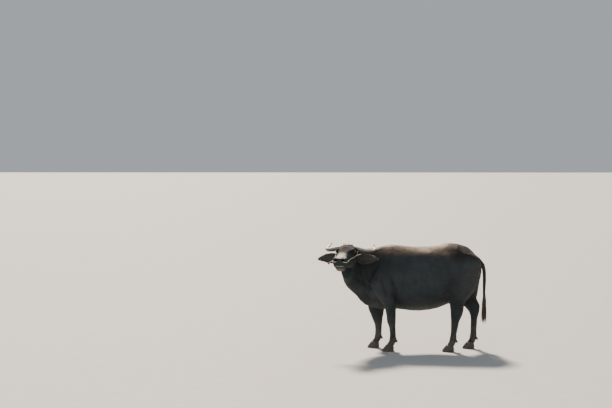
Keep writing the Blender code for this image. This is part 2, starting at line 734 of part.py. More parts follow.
def mouth_slit():
    """A thin curved wedge along the line of the mouth, from corner to corner round the muzzle."""
    count = 25
    angle = np.linspace(-math.pi / 2, math.pi / 2, count)
    outer, inner = 0.024, 0.010
    rings = []
    for a in angle:
        across, along = math.sin(a), math.cos(a)
        centre = np.array([MOUTH_CORNER.x + along * 0.118, across * 0.086, MOUTH_CORNER.z + 0.006 * along])
        out = unit(np.array([along * 0.7, across, 0.0]))
        lip = np.array([0.0, 0.0, 0.0026])
        rings.append([centre + out * outer - lip, centre + out * outer + lip, centre - out * inner])
    return mesh_of_rings("mouth", rings)


def place(frame, *pieces):
    """Moves pieces from the head's own frame to where the head is."""
    for piece in pieces:
        piece.data.transform(frame)
    return pieces


def nape_side(frame, ahead, facing):
    """Everything before (facing 1) or behind (facing -1) the slanting plane of the nape."""
    normal = (frame.to_3x3() @ Vector((1, 0, 0.40))).normalized()
    point = frame @ Vector((-0.045 + ahead, 0, 0))
    return half_space("nape", point, normal * facing)


def skull_pieces():
    rows = [(x, 0, z, wide, high, low, up, down) for x, z, wide, high, low, up, down in HEAD]
    pieces = [loft("skull", rows, UP, steps=4, sides=32)]
    for side in HEAD_SIDES.values():
        pieces.append(ball("brow", (0.185, side * 0.080, -0.032), (0.056, 0.032, 0.032)))
        pieces.append(ball("boss", (0.062, side * 0.080, -0.034), (0.050, 0.058, 0.038)))
        pieces.append(ball("cheek", (0.150, side * 0.070, -0.150), (0.095, 0.046, 0.085)))
        pieces.append(ball("nose", (0.462, side * 0.050, -0.090), (0.044, 0.040, 0.036)))
        root = EAR_ROOT
        stalk = ((root.x, 0.060, root.z, 0.042), (root.x, 0.095, root.z, 0.034), (root.x, 0.112, root.z, 0.029))
        pieces.append(cord("stalk", [(x, side * y, z, r) for x, y, z, r in stalk], UP))
    pieces.append(ball("poll", (0.045, 0, -0.026), (0.060, 0.100, 0.044)))
    pieces.append(ball("chin", (0.440, 0, -0.190), (0.052, 0.058, 0.034)))
    return pieces


def make_head(frame):
    """The head as one skin: remeshed with the end of the neck, modelled and thinned."""
    stub = loft("stub", NECK[2:], UP, steps=6, sides=32)
    stub.data.transform(frame.inverted())
    head = fuse("head", [*skull_pieces(), stub], HEAD_VOXEL, 5)
    stroke_head(head, HEAD_STROKES)
    place(frame, head)
    cut(head, nape_side(frame, -0.04, -1))
    return thin(head, HEAD_TRIANGLES)


def carve_head(head, frame, rope_path):
    """Adds lids and forelock to the thinned head, then cuts sockets, nostrils, mouth and rope hole."""
    rims = [rim for side in HEAD_SIDES.values() for rim in lids(side)]
    join(head, *place(frame, *rims, *forelock()))
    hollows = [mouth_slit()]
    for side in HEAD_SIDES.values():
        hollows += [horn(side, SOCKET), ear(side, SOCKET), eye(side, SOCKET), nostril(side)]
    place(frame, *hollows)
    return carve(head, *hollows, nape_side(frame, 0, -1), rope_hole(rope_path))


# Horns, ears, claws, tail and rope


def horn(side, grow=0.0):
    """A crescent that sweeps out and back, deeper than it is wide, with low growth rings."""
    rows = through(HORN, 3)
    rows[:, 1] *= side
    side_axis, up_axis = frames_along(rows[:, :3], UP)
    taper = HORN_ROOT_RADIUS + (HORN_TIP_RADIUS - HORN_ROOT_RADIUS) * rows[:, 3] ** 2.0
    ripple = 0.0010 * np.cos(rows[:, 3] * 60) * np.clip(1 - rows[:, 3] * 1.5, 0, 1)
    rings = []
    for row, s, u, radius, wave in zip(rows, side_axis, up_axis, taper, ripple):
        reach = radius + wave + grow
        across, along = superellipse(10, reach * 1.10, reach * 0.85, reach * 0.95, 2.4, 2.0)
        rings.append(row[:3] + across[:, None] * s + along[:, None] * u)
    rings[0] = rings[0] + unit(rings[0].mean(0) - rings[1].mean(0)) * grow
    tip = rings[-1].mean(0) + (rings[-1].mean(0) - rings[-2].mean(0)) * 0.5
    rings.append(tip + (rings[-1] - rings[-1].mean(0)) * 0.35)
    return mesh_of_rings("horn", rings)


def ear_rings(grow=0.0):
    """Rings of a cupped leaf that grows along +X and opens towards -Y: solid at its rolled root."""
    rings = []
    for share in np.linspace(0, 1, 11):
        x = -0.045 + share * (EAR_LENGTH + 0.045) - grow * (share == 0)
        leaf = math.sin(math.pi * min(1, 0.10 + 0.86 * share) ** 0.85) ** 0.9
        half = EAR_WIDTH / 2 * (0.30 * (1 - share) + leaf * 0.97) * math.sqrt(max(1 - share**8, 0.03))
        half *= 0.42 + 0.58 * math.sin(math.pi / 2 * min(1, share / 0.40))
        roll = math.radians(40 + 80 * (1 - share) ** 1.5)
        radius = half / math.sin(min(roll, math.pi / 2))
        wall = max(0.0065 - 0.003 * share, radius * 0.93 * (1 - share / 0.30))
        arcs = []
        for reach in (radius + grow, radius - wall - grow):
            angle = np.linspace(-1, 1, 8) * (roll + grow / reach)
            arcs.append(reach * np.column_stack([np.cos(angle), np.sin(angle)]))
        section = np.vstack([arcs[0], arcs[1][::-1]]) - np.array([radius * 0.55, 0])
        rings.append(np.column_stack([np.full(len(section), x), section]))
    return rings


def ear(side, grow=0.0):
    """An ear held out level, a little back and down, with its cup to the front."""
    obj = mesh_of_rings("ear", ear_rings(grow))
    back, droop = EAR_POSES[side]
    turn = Matrix.Rotation(math.pi / 2 + back, 4, "Z") @ Matrix.Rotation(droop, 4, "Y")
    obj.data.transform(Matrix.Translation(EAR_ROOT) @ turn)
    if side > 0:
        return obj
    obj.data.transform(Matrix.Diagonal((1, -1, 1, 1)))
    obj.data.flip_normals()
    return obj


def claw(name, x, y, splay):
    """One claw of a cloven hoof: a flat sole, a sloping toe in front and a steep heel."""
    levels = (
        (0.000, 0.096, 0.046, 0.500),
        (0.012, 0.094, 0.048, 0.515),
        (0.040, 0.072, 0.048, 0.480),
        (CLAW_HEIGHT, 0.050, 0.045, 0.430),
    )
    angle = np.arange(12) / 12 * 2 * math.pi
    reach, across = np.cos(angle), np.sin(angle)
    rings = []
    for z, toe, heel, wide in levels:
        along = np.where(reach < 0, toe, heel) * reach
        narrow = CLAW_WIDTH * wide * (1 - 0.25 * np.clip(-reach, 0, 1) ** 2)
        rings.append(np.column_stack([along, across * narrow, np.full(12, z)]))
    obj = mesh_of_rings(name, rings)
    obj.data.transform(Matrix.Translation((x, y, 0)) @ Matrix.Rotation(splay, 4, "Z"))
    return obj


def claws(leg, side, stations, grow=0.0):
    """The two claws under a leg and the two dewclaws behind its fetlock."""
    x, y = stations[-1][0], side * stations[-1][1]
    made = {}
    for name, out in (("outer", side), ("inner", -side)):
        if grow == 0:
            y_claw = y + out * (CLAW_WIDTH * 0.515 + 0.003)
            made[f"claw_{leg}_{name}"] = claw("claw", x, y_claw, -out * math.radians(3))
    heel = stations[-3]
    for name, out in (("outer", side), ("inner", -side)):
        root = Vector((heel[0] + 0.030, y + out * 0.024, heel[2] - 0.002))
        middle, tip = Vector((0.016, out * 0.002, -0.014)), Vector((0.024, out * 0.003, -DEWCLAW_LENGTH))
        rows = ((*root, 0.014), (*(root + middle), 0.014), (*(root + tip), 0.008))
        made[f"dewclaw_{leg}_{name}"] = cord("dewclaw", rows, FORWARD, steps=1, sides=8, grow=grow)
    return made


def lock(name, root, tip, width, bow, seed):
    """One flat tapered lock of hair, bent outwards by bow, from its sunk root to its tip."""
    root, tip = np.asarray(root, float), np.asarray(tip, float)
    outward = np.array([math.cos(seed), math.sin(seed), 0.0])
    across = unit(np.cross(tip - root, outward))
    rings = []
    for share in (0.0, 0.3, 0.6, 0.85, 1.0):
        centre = root + (tip - root) * share + outward * bow * math.sin(math.pi * share)
        half = width / 2 * (0.55 + 0.9 * share if share < 0.5 else 1.0 - 0.86 * (share - 0.5) * 2)
        flat = max(half * 0.38, 0.0008)
        rings.append([centre + across * half, centre + outward * flat, centre - across * half, centre - outward * flat])
    return mesh_of_rings(name, rings)


def tail_switch():
    """The hairy end of the tail: a short core with overlapping locks that hang to different lengths."""
    rng = np.random.default_rng(7)
    rows = through(TAIL, 4)
    core = [tuple(row) for row in rows if row[2] < SWITCH_TOP_Z + 0.03]
    core.append((core[-1][0], core[-1][1], core[-1][2] - 0.05, 0.008))
    obj = cord("switch", core, FORWARD, steps=1, sides=10, grow=0.001)
    cut(obj, half_space("above", (0, 0, SWITCH_TOP_Z), UP))
    made = []
    for i in range(SWITCH_LOCKS):
        turn = i * 2.399963
        level = i / (SWITCH_LOCKS - 1)
        outward = np.array([math.cos(turn), math.sin(turn), 0.0])
        start = np.array([0.9945, -0.006, SWITCH_TOP_Z - 0.012 - 0.075 * level])
        length = SWITCH_LENGTH * (0.62 + 0.38 * level) * rng.uniform(0.86, 1.0)
        end = start + outward * rng.uniform(0.010, 0.024) * (1.0 - 0.5 * level) - np.array([0, 0, length])
        made.append(lock("lock", start + outward * 0.003, end, 0.021, 0.010, turn))
    return join(obj, *made)


def tail(grow=0.0):
    """The tail down to its switch; its root is sunk in the rump."""
    obj = cord("tail", TAIL, FORWARD, steps=3, sides=10, grow=grow)
    return combine(obj, [half_space("below", (0, 0, SWITCH_TOP_Z + GAP), UP)], "INTERSECT")


def forelock():
    """A tuft on the poll between the horns: flat locks that rise and lean forward and out."""
    rng = np.random.default_rng(11)
    made = []
    for i in range(FORELOCK_LOCKS):
        share = (i + 0.5) / FORELOCK_LOCKS * 2 - 1
        root = np.array([0.040 + rng.uniform(-0.012, 0.012), share * 0.050, -0.002])
        tip = root + np.array([rng.uniform(0.006, 0.030), share * 0.022, rng.uniform(0.034, 0.048)])
        made.append(lock("lock", root, tip, 0.016, 0.004, rng.uniform(0, math.pi)))
    return made


def inside(tree, point):
    """Whether a point is inside a closed surface: an upward ray crosses it an odd number of times."""
    crossings, start = 0, Vector(point)
    while crossings < 50:
        hit = tree.ray_cast(start, UP)[0]
        if hit is None:
            break
        crossings += 1
        start = hit + UP * 0.00001
    return crossings % 2 == 1


def rope_course(frame, surfaces):
    """The closed course of the nose rope: through the nose, along both cheeks and over the nape.

    Its guide points are in the head's frame. Where the rope would touch the flesh it is pushed out.
    """
    left = through(ROPE_GUIDE, ROPE_STEPS)
    loop = np.vstack([left, (left * np.array([1, -1, 1]))[-2:0:-1]])
    loop = np.array([frame @ Vector(point) for point in loop])
    graph = bpy.context.evaluated_depsgraph_get()
    trees = [BVHTree.FromObject(obj, graph) for obj in surfaces]
    clear = ROPE_RADIUS + 0.0042
    for _ in range(14):
        outside = loop[ROPE_HIDDEN:-ROPE_HIDDEN]
        outside[1:-1] = outside[1:-1] * 0.6 + (outside[:-2] + outside[2:]) * 0.2
        for i in range(ROPE_HIDDEN, len(loop) - ROPE_HIDDEN + 1):
            for tree in trees:
                point, _, _, distance = tree.find_nearest(Vector(loop[i]))
                within = inside(tree, loop[i])
                if within or distance < clear:
                    outward = (Vector(loop[i]) - point).normalized() * (-1 if within else 1)
                    loop[i] = point + outward * clear
    return loop


def tube(name, path, radius, sides=6, closed=False):
    """A round tube along a path, open-ended with caps or closed on itself."""
    if closed:
        tangent = unit(np.roll(path, -1, axis=0) - np.roll(path, 1, axis=0))
    else:
        tangent = unit(np.gradient(path, axis=0))
    side = unit(np.cross(tangent, [0.13, 0.21, 0.97]))
    up = np.cross(side, tangent)
    angle = np.arange(sides) / sides * 2 * math.pi
    offsets = side[:, None] * np.cos(angle)[:, None] + up[:, None] * np.sin(angle)[:, None]
    rings = path[:, None] + radius * offsets
    if not closed:
        return mesh_of_rings(name, rings)
    obj = mesh_of_rings(name, np.concatenate([rings, rings[:1]]))
    edit = bmesh.new()
    edit.from_mesh(obj.data)
    bmesh.ops.delete(edit, geom=[f for f in edit.faces if len(f.verts) == sides], context="FACES")
    bmesh.ops.remove_doubles(edit, verts=edit.verts, dist=0.0001)
    bmesh.ops.recalc_face_normals(edit, faces=edit.faces)
    edit.to_mesh(obj.data)
    edit.free()
    return obj


def rope_hole(course):
    """The hole through the nose that the rope runs in, a little wider than the rope."""
    hidden = np.vstack([course[-ROPE_HIDDEN - 2:], course[:ROPE_HIDDEN + 3]])
    return tube("hole", hidden, ROPE_RADIUS + 0.0015)


def toggle(frame, course):
    """A short knotted end that sticks out beside her right nostril and the red bead on it."""
    start = frame.inverted() @ Vector(course[-ROPE_HIDDEN - 1])
    end = np.array(TOGGLE_END)
    rows = [(*start, 0.0040), (*((np.array(start) + end) / 2 + (0, 0, 0.006)), 0.004), (*end, 0.004)]
    strand = cord("strand", rows, UP, steps=3, sides=8)
    bead = ball("bead", end, (0.0135, 0.0135, 0.0135), segments=12)
    cut(bead, cord("socket", rows, UP, steps=3, sides=8, grow=GAP))
    return place(frame, strand, bead)


def part_body(body, frame):
    """Cuts the fused body into torso, neck and four legs; returns them by name."""
    nodes = {}
    for name, (side, stations, arch) in LEGS.items():
        leg = duplicate(body, name)
        combine(leg, [leg_region("region", side, arch)], "INTERSECT")
        cut(leg, half_space("ground", (0, 0, CLAW_HEIGHT + GAP), -UP))
        cut(body, leg_region("region", side, arch, GAP))
        for part, obj in claws(name, side, stations).items():
            nodes[part] = obj
        for obj in claws(name, side, stations, GAP).values():
            cut(leg, obj)
        nodes[name] = leg
    point, normal = Vector(SHOULDER_POINT), Vector(SHOULDER_NORMAL).normalized()
    nodes["neck"] = cut(duplicate(body, "neck"), half_space("torso", point, -normal))
    carve(nodes["neck"], nape_side(frame, -GAP, 1), *place(frame, ear(1, SOCKET), ear(-1, SOCKET)))
    nodes["torso"] = cut(body, half_space("neck", point - normal * GAP, normal), tail(GAP))
    return nodes


def recentre(objects):
    """Moves everything so that the middle of its bounding box stands over the origin."""
    points = np.vstack([read_points(obj) for obj in objects])
    low, high = points.min(0), points.max(0)
    shift = Matrix.Translation((-(low[0] + high[0]) / 2, -(low[1] + high[1]) / 2, 0))
    for obj in objects:
        obj.data.transform(shift)


def main():
    clear_scene()
    frame = head_frame()
    nodes = part_body(make_body(frame), frame)
    head = make_head(frame)
    for word, side in HEAD_SIDES.items():
        for part, obj in {"horn": horn(side), "ear": ear(side), "eye": eye(side)}.items():
            place(frame, obj)
            nodes[f"{part}_{word}"] = obj
    horns_and_ears = [nodes[name] for name in ("horn_left", "horn_right", "ear_left", "ear_right")]
    course = rope_course(frame, [head, nodes["neck"], nodes["torso"], *horns_and_ears])
    nodes["head"] = carve_head(head, frame, course)
    strand, nodes["bead"] = toggle(frame, course)
    nodes["nose_rope"] = join(tube("rope", course, ROPE_RADIUS, closed=True), strand)
    nodes["tail"], nodes["tail_switch"] = tail(), tail_switch()
    for name, obj in nodes.items():
        finish_node(obj, name)
    recentre(list(nodes.values()))


main()
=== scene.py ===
"""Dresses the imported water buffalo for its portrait: one fine hide over the flesh, short coat, long
hair, eyes with lids, horns, ears, claws, the worn nose rope, and a plain studio.

Metres, +Z up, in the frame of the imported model. She faces -X and her left side is at -Y.
"""

import math

import bmesh
import bpy
import numpy as np
from bpy.props import FloatProperty, FloatVectorProperty, IntProperty, PointerProperty
from mathutils import Matrix, Vector


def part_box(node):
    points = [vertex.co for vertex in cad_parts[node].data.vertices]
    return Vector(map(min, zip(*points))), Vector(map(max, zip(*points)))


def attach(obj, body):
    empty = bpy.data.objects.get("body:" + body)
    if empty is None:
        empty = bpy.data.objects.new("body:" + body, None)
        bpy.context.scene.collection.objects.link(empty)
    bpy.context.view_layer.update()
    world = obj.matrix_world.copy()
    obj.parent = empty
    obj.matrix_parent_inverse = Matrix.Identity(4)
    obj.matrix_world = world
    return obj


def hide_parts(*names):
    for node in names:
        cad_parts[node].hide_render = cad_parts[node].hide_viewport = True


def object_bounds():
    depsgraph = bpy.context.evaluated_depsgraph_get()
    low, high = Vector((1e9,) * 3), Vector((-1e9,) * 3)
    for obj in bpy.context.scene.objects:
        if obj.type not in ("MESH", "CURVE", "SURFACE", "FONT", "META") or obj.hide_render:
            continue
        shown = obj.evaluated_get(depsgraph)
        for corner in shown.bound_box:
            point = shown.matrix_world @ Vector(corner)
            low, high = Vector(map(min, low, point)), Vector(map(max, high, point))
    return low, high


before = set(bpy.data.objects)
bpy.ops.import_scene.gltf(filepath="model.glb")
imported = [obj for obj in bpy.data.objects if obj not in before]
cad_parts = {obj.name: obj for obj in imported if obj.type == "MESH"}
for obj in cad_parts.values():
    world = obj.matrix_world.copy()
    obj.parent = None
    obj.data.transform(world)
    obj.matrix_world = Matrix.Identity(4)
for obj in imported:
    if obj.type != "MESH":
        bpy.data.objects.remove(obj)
CAD_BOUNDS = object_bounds()

bl_info = {
    "name": "Water buffalo",
    "version": (1, 0, 0),
    "blender": (4, 5, 0),
    "location": "3D View > Sidebar > Buffalo",
    "description": "Dresses the model of a standing water buffalo",
    "category": "Add Mesh",
}

# The head's own frame: +X to the muzzle, +Y to her left, +Z up. Its pose is the one of the solids.
HEAD_TURN = math.radians(79.5)
HEAD_DIP = math.radians(8)
HEAD_ROLL = math.radians(-1.5)
HEAD_PLACE = Vector((-0.641, -0.200, 1.282))
SIDES = {"left": 1, "right": -1}

# Places in the head's frame, for her left side
EYE = np.array([0.190, 0.0985, -0.040])
EYE_RADIUS = 0.021
EAR_ROOT = Vector((0.046, 0.112, -0.143))
EAR_POSES = {
    "left": (math.radians(23.5), math.radians(6)),
    "right": (math.radians(-4), math.radians(6.5)),
}
EAR_LENGTH, EAR_WIDTH = 0.268, 0.112
HORN = (
    (0.062, 0.075, -0.020, 0.00),
    (0.054, 0.130, -0.034, 0.10),
    (0.026, 0.205, -0.056, 0.30),
    (-0.030, 0.264, -0.069, 0.50),
    (-0.095, 0.292, -0.070, 0.68),
    (-0.155, 0.290, -0.062, 0.84),
    (-0.200, 0.276, -0.044, 0.94),
    (-0.225, 0.262, -0.026, 1.00),
)
ROPE_GUIDE = (
    (0.476, 0.000, -0.098),
    (0.486, 0.024, -0.097),
    (0.503, 0.042, -0.097),
    (0.498, 0.070, -0.098),
    (0.466, 0.094, -0.100),
    (0.400, 0.086, -0.099),
    (0.300, 0.090, -0.098),
    (0.225, 0.115, -0.095),
    (0.160, 0.127, -0.090),
    (0.100, 0.126, -0.084),
    (0.046, 0.118, -0.077),
    (-0.010, 0.100, -0.068),
    (-0.052, 0.074, -0.060),
    (-0.074, 0.036, -0.052),
    (-0.076, 0.000, -0.049),
)

# The head without horns and ears, lowest and highest corner
HEAD_BOX = np.array([(-0.05, -0.12, -0.24), (0.52, 0.12, 0.02)])

FLESH = ("torso", "neck", "head", "tail", "foreleg_left", "foreleg_right", "hindleg_left", "hindleg_right")
LEGS = ("foreleg_left", "foreleg_right", "hindleg_left", "hindleg_right")


# Settings shown in the sidebar


def size(name, default, description):
    return FloatProperty(
        name=name, description=description, default=default, min=0, unit="LENGTH", precision=4
    )


def colour(name, default, description):
    return FloatVectorProperty(
        name=name, description=description, default=default, size=3, min=0, max=1, subtype="COLOR"
    )


class HideSettings(bpy.types.PropertyGroup):
    """Sizes and colours of the skin."""

    voxel: size("Skin fineness", 0.0037, "Edge of the cells that the flesh is fused in")
    coat_depth: size("Coat depth", 0.0030, "How far the skin lies inside the solids")
    dark: colour("Hide", (0.0135, 0.0192, 0.0218), "Blue-black of the bare hide")
    grey: colour("Worn hide", (0.036, 0.046, 0.050), "Greyer hide where it is rubbed or dry")
    # Used along the back as painted sunlight, the warm light on the upper body; faintly over the rump it is
    # the hair's own brown
    brown: colour("Brown hair, sunlit on the back", (0.110, 0.066, 0.044), "Reddish brown of the hair along the back")
    # Painted sunlight: this pale tan along the very top of the back stands for the sun lighting it
    tan: colour("Sunlit top of the back", (0.340, 0.240, 0.175), "Tan of the hair along the very top of the back")
    dust: colour("Dust", (0.120, 0.098, 0.070), "Dried mud on the lower legs")
    # The chin's pale is its hair's own colour; the same pale on the bridge of the nose is painted sunlight,
    # and along the lower lip a painted highlight
    pale: colour("Chin", (0.430, 0.375, 0.300), "Pale hair of the chin and the bridge of the nose")
    muzzle: colour("Muzzle", (0.008, 0.011, 0.014), "Black of the bare muzzle")


class HornSettings(bpy.types.PropertyGroup):
    """Sizes and colours of the horns and claws."""

    root: size("Root radius", 0.031, "Radius of each horn where it leaves the head")
    tip: size("Tip radius", 0.007, "Radius near the tip of each horn")
    ridge: size("Ring height", 0.0013, "How far the growth rings stand out")
    colour: colour("Horn", (0.470, 0.420, 0.360), "Grey-brown of the weathered horn")
    tip_colour: colour("Horn tip", (0.560, 0.520, 0.460), "Pale polished tips")
    claw: colour("Claw", (0.040, 0.034, 0.030), "Dull black of the claws")


class CoatSettings(bpy.types.PropertyGroup):
    """Numbers and sizes of the short coat and the long hair."""

    body: IntProperty(name="Body tufts", description="Tufts on each flank and on the legs", default=18500)
    head: IntProperty(name="Head tufts", description="Tufts on the head", default=17000)
    length: size("Tuft length", 0.021, "Length of the hair on the flanks")
    width: size("Tuft width", 0.0014, "Width of one tuft at its root")
    switch: IntProperty(name="Switch strands", description="Strands of the tail switch", default=620)
    ear_fringe: IntProperty(name="Ear hair", description="Strands along and inside each ear", default=2600)


class RopeSettings(bpy.types.PropertyGroup):
    """Sizes and colours of the nose rope and the knot on it."""

    radius: size("Rope radius", 0.0045, "Outer radius of the three-strand rope")
    pitch: size("Twist", 0.023, "Length of rope in which a strand goes round once")
    fibre: colour("Fibre", (0.560, 0.520, 0.400), "Pale sun-bleached fibre")
    knot: colour("Knot", (0.480, 0.035, 0.050), "Red of the wound yarn")


class StageSettings(bpy.types.PropertyGroup):
    """Camera, lights and floor."""

    lens: FloatProperty(name="Lens", description="Focal length", default=82.0, unit="CAMERA")
    camera: FloatVectorProperty(
        name="Camera",
        description="Where the camera stands",
        default=(-0.0014, -16.813, 2.25),
        subtype="XYZ",
    )
    yaw: FloatProperty(name="Turn", description="Turn to the left", default=0.06876, subtype="ANGLE")
    pitch: FloatProperty(name="Dip", description="Dip below level", default=0.02797, subtype="ANGLE")
    key: FloatProperty(name="Key light", description="Strength of the high light behind", default=10.5)
    fill: FloatProperty(name="Fill light", description="Strength of the light all round", default=0.46)
    floor: colour("Floor", (0.450, 0.450, 0.440), "Plain pale floor")


class BuffaloSettings(bpy.types.PropertyGroup):
    """Everything that can be set."""

    hide: PointerProperty(type=HideSettings)
    horn: PointerProperty(type=HornSettings)
    coat: PointerProperty(type=CoatSettings)
    rope: PointerProperty(type=RopeSettings)
    stage: PointerProperty(type=StageSettings)


def settings():
    return bpy.context.scene.buffalo


# Shader maths


class Wire:
    """A shader value that Python sums work on: each operator adds its Math node."""

    def __init__(self, shader, socket):
        self.shader = shader
        self.socket = socket

    def math(self, operation, *values):
        inputs = dict(enumerate((self, *values)))
        return self.shader.node("Math", {"operation": operation}, inputs)

    def __add__(self, other):
        return self.math("ADD", other)

    def __mul__(self, other):
        return self.math("MULTIPLY", other)

    def __sub__(self, other):
        return self.math("SUBTRACT", other)

    def __rsub__(self, other):
        return self.shader.node("Math", {"operation": "SUBTRACT"}, {0: other, 1: self})

    __radd__ = __add__
    __rmul__ = __mul__

    def step(self, low, high):
        """0 below low and 1 above high, or the other way round, with a soft change between."""
        inputs = {"Value": self, "From Min": low, "From Max": high}
        return self.shader.node("MapRange", {"interpolation_type": "SMOOTHSTEP"}, inputs)


class Shader:
    """One material and the nodes that feed its surface."""

    def __init__(self, name, **surface):
        self.material = bpy.data.materials.new(name)
        self.material.use_nodes = True
        self.tree = self.material.node_tree
        self.surface = self.tree.nodes["Principled BSDF"]
        for key, value in surface.items():
            self.surface.inputs[key.replace("_", " ")].default_value = value

    def node(self, kind, settings, inputs, out=0):
        """Adds a node: first its settings, then the values or links of its sockets; returns one output."""
        made = self.tree.nodes.new("ShaderNode" + kind)
        for key, value in settings.items():
            setattr(made, key, value)
        for key, value in inputs.items():
            self.plug(made.inputs[key], value)
        return Wire(self, made.outputs[out])

    def plug(self, socket, value):
        if isinstance(value, Wire):
            self.tree.links.new(value.socket, socket)
        elif isinstance(value, (float, int)):
            socket.default_value = value
        else:
            socket.default_value = (*value, 1)[: len(socket.default_value)]

    def place(self):
        return self.node("TexCoord", {}, {}, "Object")

    def axis(self, name):
        return self.node("SeparateXYZ", {}, {0: self.place()}, name)

    def attribute(self, name):
        return self.node("Attribute", {"attribute_name": name}, {}, "Fac")

    def stretched(self, scale):
        return self.node("VectorMath", {"operation": "MULTIPLY"}, {0: self.place(), 1: scale})

    def noise(self, scale, vector=None, detail=4.0, roughness=0.55):
        vector = vector or self.place()
        inputs = {"Vector": vector, "Scale": scale, "Detail": detail, "Roughness": roughness}
        return self.node("TexNoise", {}, inputs)

    def cells(self, scale, vector=None):
        """Distance to the nearest border between random cells: low along a net of lines."""
        inputs = {"Vector": vector or self.place(), "Scale": scale}
        return self.node("TexVoronoi", {"feature": "DISTANCE_TO_EDGE"}, inputs)

    def distance(self, point):
        inputs = {0: self.place(), 1: tuple(point)}
        return self.node("VectorMath", {"operation": "DISTANCE"}, inputs, "Value")

    def mix(self, factor, first, second):
        return self.node("Mix", {"data_type": "RGBA"}, {0: factor, 6: first, 7: second}, 2)

    def bump(self, height, distance, strength):
        return self.node("Bump", {}, {"Height": height, "Distance": distance, "Strength": strength})

    def set(self, **sockets):
        for key, value in sockets.items():
            self.plug(self.surface.inputs[key.replace("_", " ")], value)
        return self.material


# Meshes from arrays


def make_mesh(name, points, *groups):
    """A mesh from an array of points and arrays of faces; each array's faces have the same corners."""
    corners = np.concatenate([group.ravel() for group in groups]).astype(np.int32)
    counts = np.concatenate([np.full(len(group), group.shape[1]) for group in groups])
    mesh = bpy.data.meshes.new(name)
    mesh.vertices.add(len(points))
    mesh.vertices.foreach_set("co", points.astype(np.float32).ravel())
    mesh.loops.add(len(corners))
    mesh.loops.foreach_set("vertex_index", corners)
    mesh.polygons.add(len(counts))
    mesh.polygons.foreach_set("loop_start", (np.cumsum(counts) - counts).astype(np.int32))
    mesh.update(calc_edges=True)
    mesh.validate()
    return mesh


def add_piece(name, mesh, material, slot, *nodes):
    """Shows a mesh as a piece that rides on the body, takes the place of nodes and has a material."""
    obj = bpy.data.objects.new(name, mesh)
    bpy.context.scene.collection.objects.link(obj)
    mesh.name = name
    mesh.materials.clear()
    mesh.materials.append(material)
    mesh.shade_smooth()
    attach(obj, "root")
    if nodes:
        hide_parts(*nodes)
    return obj


def store(mesh, name, values):
    """Keeps one number for each vertex, for the material to read."""
    mesh.attributes.new(name, "FLOAT", "POINT").data.foreach_set("value", values.astype(np.float32))


def unit(vectors):
    return vectors / np.maximum(np.linalg.norm(vectors, axis=-1, keepdims=True), 1e-9)


def smoothstep(values, low, high):
    share = np.clip((values - low) / (high - low), 0, 1)
    return share * share * (3 - 2 * share)


def through(rows, steps):
    """Points on a Catmull-Rom curve through the rows, with this many steps in each span."""
    rows = np.asarray(rows, float)
    padded = np.vstack([2 * rows[0] - rows[1], rows, 2 * rows[-1] - rows[-2]])
    t = (np.arange(steps) / steps)[:, None]
    spans = []
    for a, b, c, d in zip(padded, padded[1:], padded[2:], padded[3:]):
        curve = 2 * b + (c - a) * t + (2 * a - 5 * b + 4 * c - d) * t**2 + (3 * b - a - 3 * c + d) * t**3
        spans.append(curve / 2)
    return np.vstack([*spans, rows[-1:]])


def frames_along(centres, reference):
    """Side and up vectors across a path, with up as near the reference direction as it can be."""
    tangent = unit(np.gradient(centres, axis=0))
    side = unit(np.cross(tangent, np.asarray(reference, float)))
    return side, unit(np.cross(side, tangent))


def skin_of_rings(rings, closed=False):
    """Points and faces of a surface through rings: quads between them, and a fan over each end."""
    count, sides = rings.shape[:2]
    i, j = np.meshgrid(np.arange(count if closed else count - 1), np.arange(sides), indexing="ij")
    near, far = i * sides, (i + 1) % count * sides
    k = (j + 1) % sides
    quads = np.stack([near + j, near + k, far + k, far + j], -1).reshape(-1, 4)
    points = rings.reshape(-1, 3)
    if closed:
        return points, quads, np.empty((0, 3), int)
    points = np.vstack([points, rings[0].mean(0), rings[-1].mean(0)])
    j, k = np.arange(sides), (np.arange(sides) + 1) % sides
    first = np.stack([k, j, np.full(sides, len(points) - 2)], -1)
    last = np.stack([j, k, np.full(sides, len(points) - 1)], -1)
    last[:, :2] += (count - 1) * sides
    return points, quads, np.vstack([first, last])


def joined(parts):
    """Several (points, quads, triangles) as one, with the faces renumbered."""
    points, quads, triangles, base = [], [], [], 0
    for part in parts:
        points.append(part[0])
        quads.append(part[1] + base)
        triangles.append(part[2] + base)
        base += len(part[0])
    return np.vstack(points), np.vstack(quads), np.vstack(triangles)


def turned_out(mesh):
    """Makes every closed shell of a mesh face outwards."""
    edit = bmesh.new()
    edit.from_mesh(mesh)
    bmesh.ops.recalc_face_normals(edit, faces=edit.faces)
    edit.to_mesh(mesh)
    edit.free()
    return mesh


def tube(path, radius, sides=10, reference=(0.13, 0.21, 0.97), closed=False):
    """A tube: at each path point a circle of the radius there, square to the path."""
    if closed:
        tangent = unit(np.roll(path, -1, axis=0) - np.roll(path, 1, axis=0))
    else:
        tangent = unit(np.gradient(path, axis=0))
    side = unit(np.cross(tangent, reference))
    up = np.cross(side, tangent)
    angle = np.arange(sides) / sides * 2 * math.pi
    circle = side[:, None] * np.cos(angle)[:, None] + up[:, None] * np.sin(angle)[:, None]
    return skin_of_rings(path[:, None] + np.broadcast_to(radius, len(path))[:, None, None] * circle, closed)


def ball(centre, radii, segments=32):
    """An ellipsoid: centre + radii * (cos a cos b, sin a cos b, sin b)."""
    level = np.linspace(-math.pi / 2, math.pi / 2, segments // 2 + 1)[1:-1, None]
    angle = np.arange(segments) / segments * 2 * math.pi
    rings = np.stack(
        [np.cos(angle) * np.cos(level), np.sin(angle) * np.cos(level), np.sin(level) + 0 * angle], -1
    )
    points, quads, triangles = skin_of_rings(rings)
    points[-2:] = ((0, 0, -1), (0, 0, 1))
    return np.asarray(centre) + points * np.asarray(radii), quads, triangles


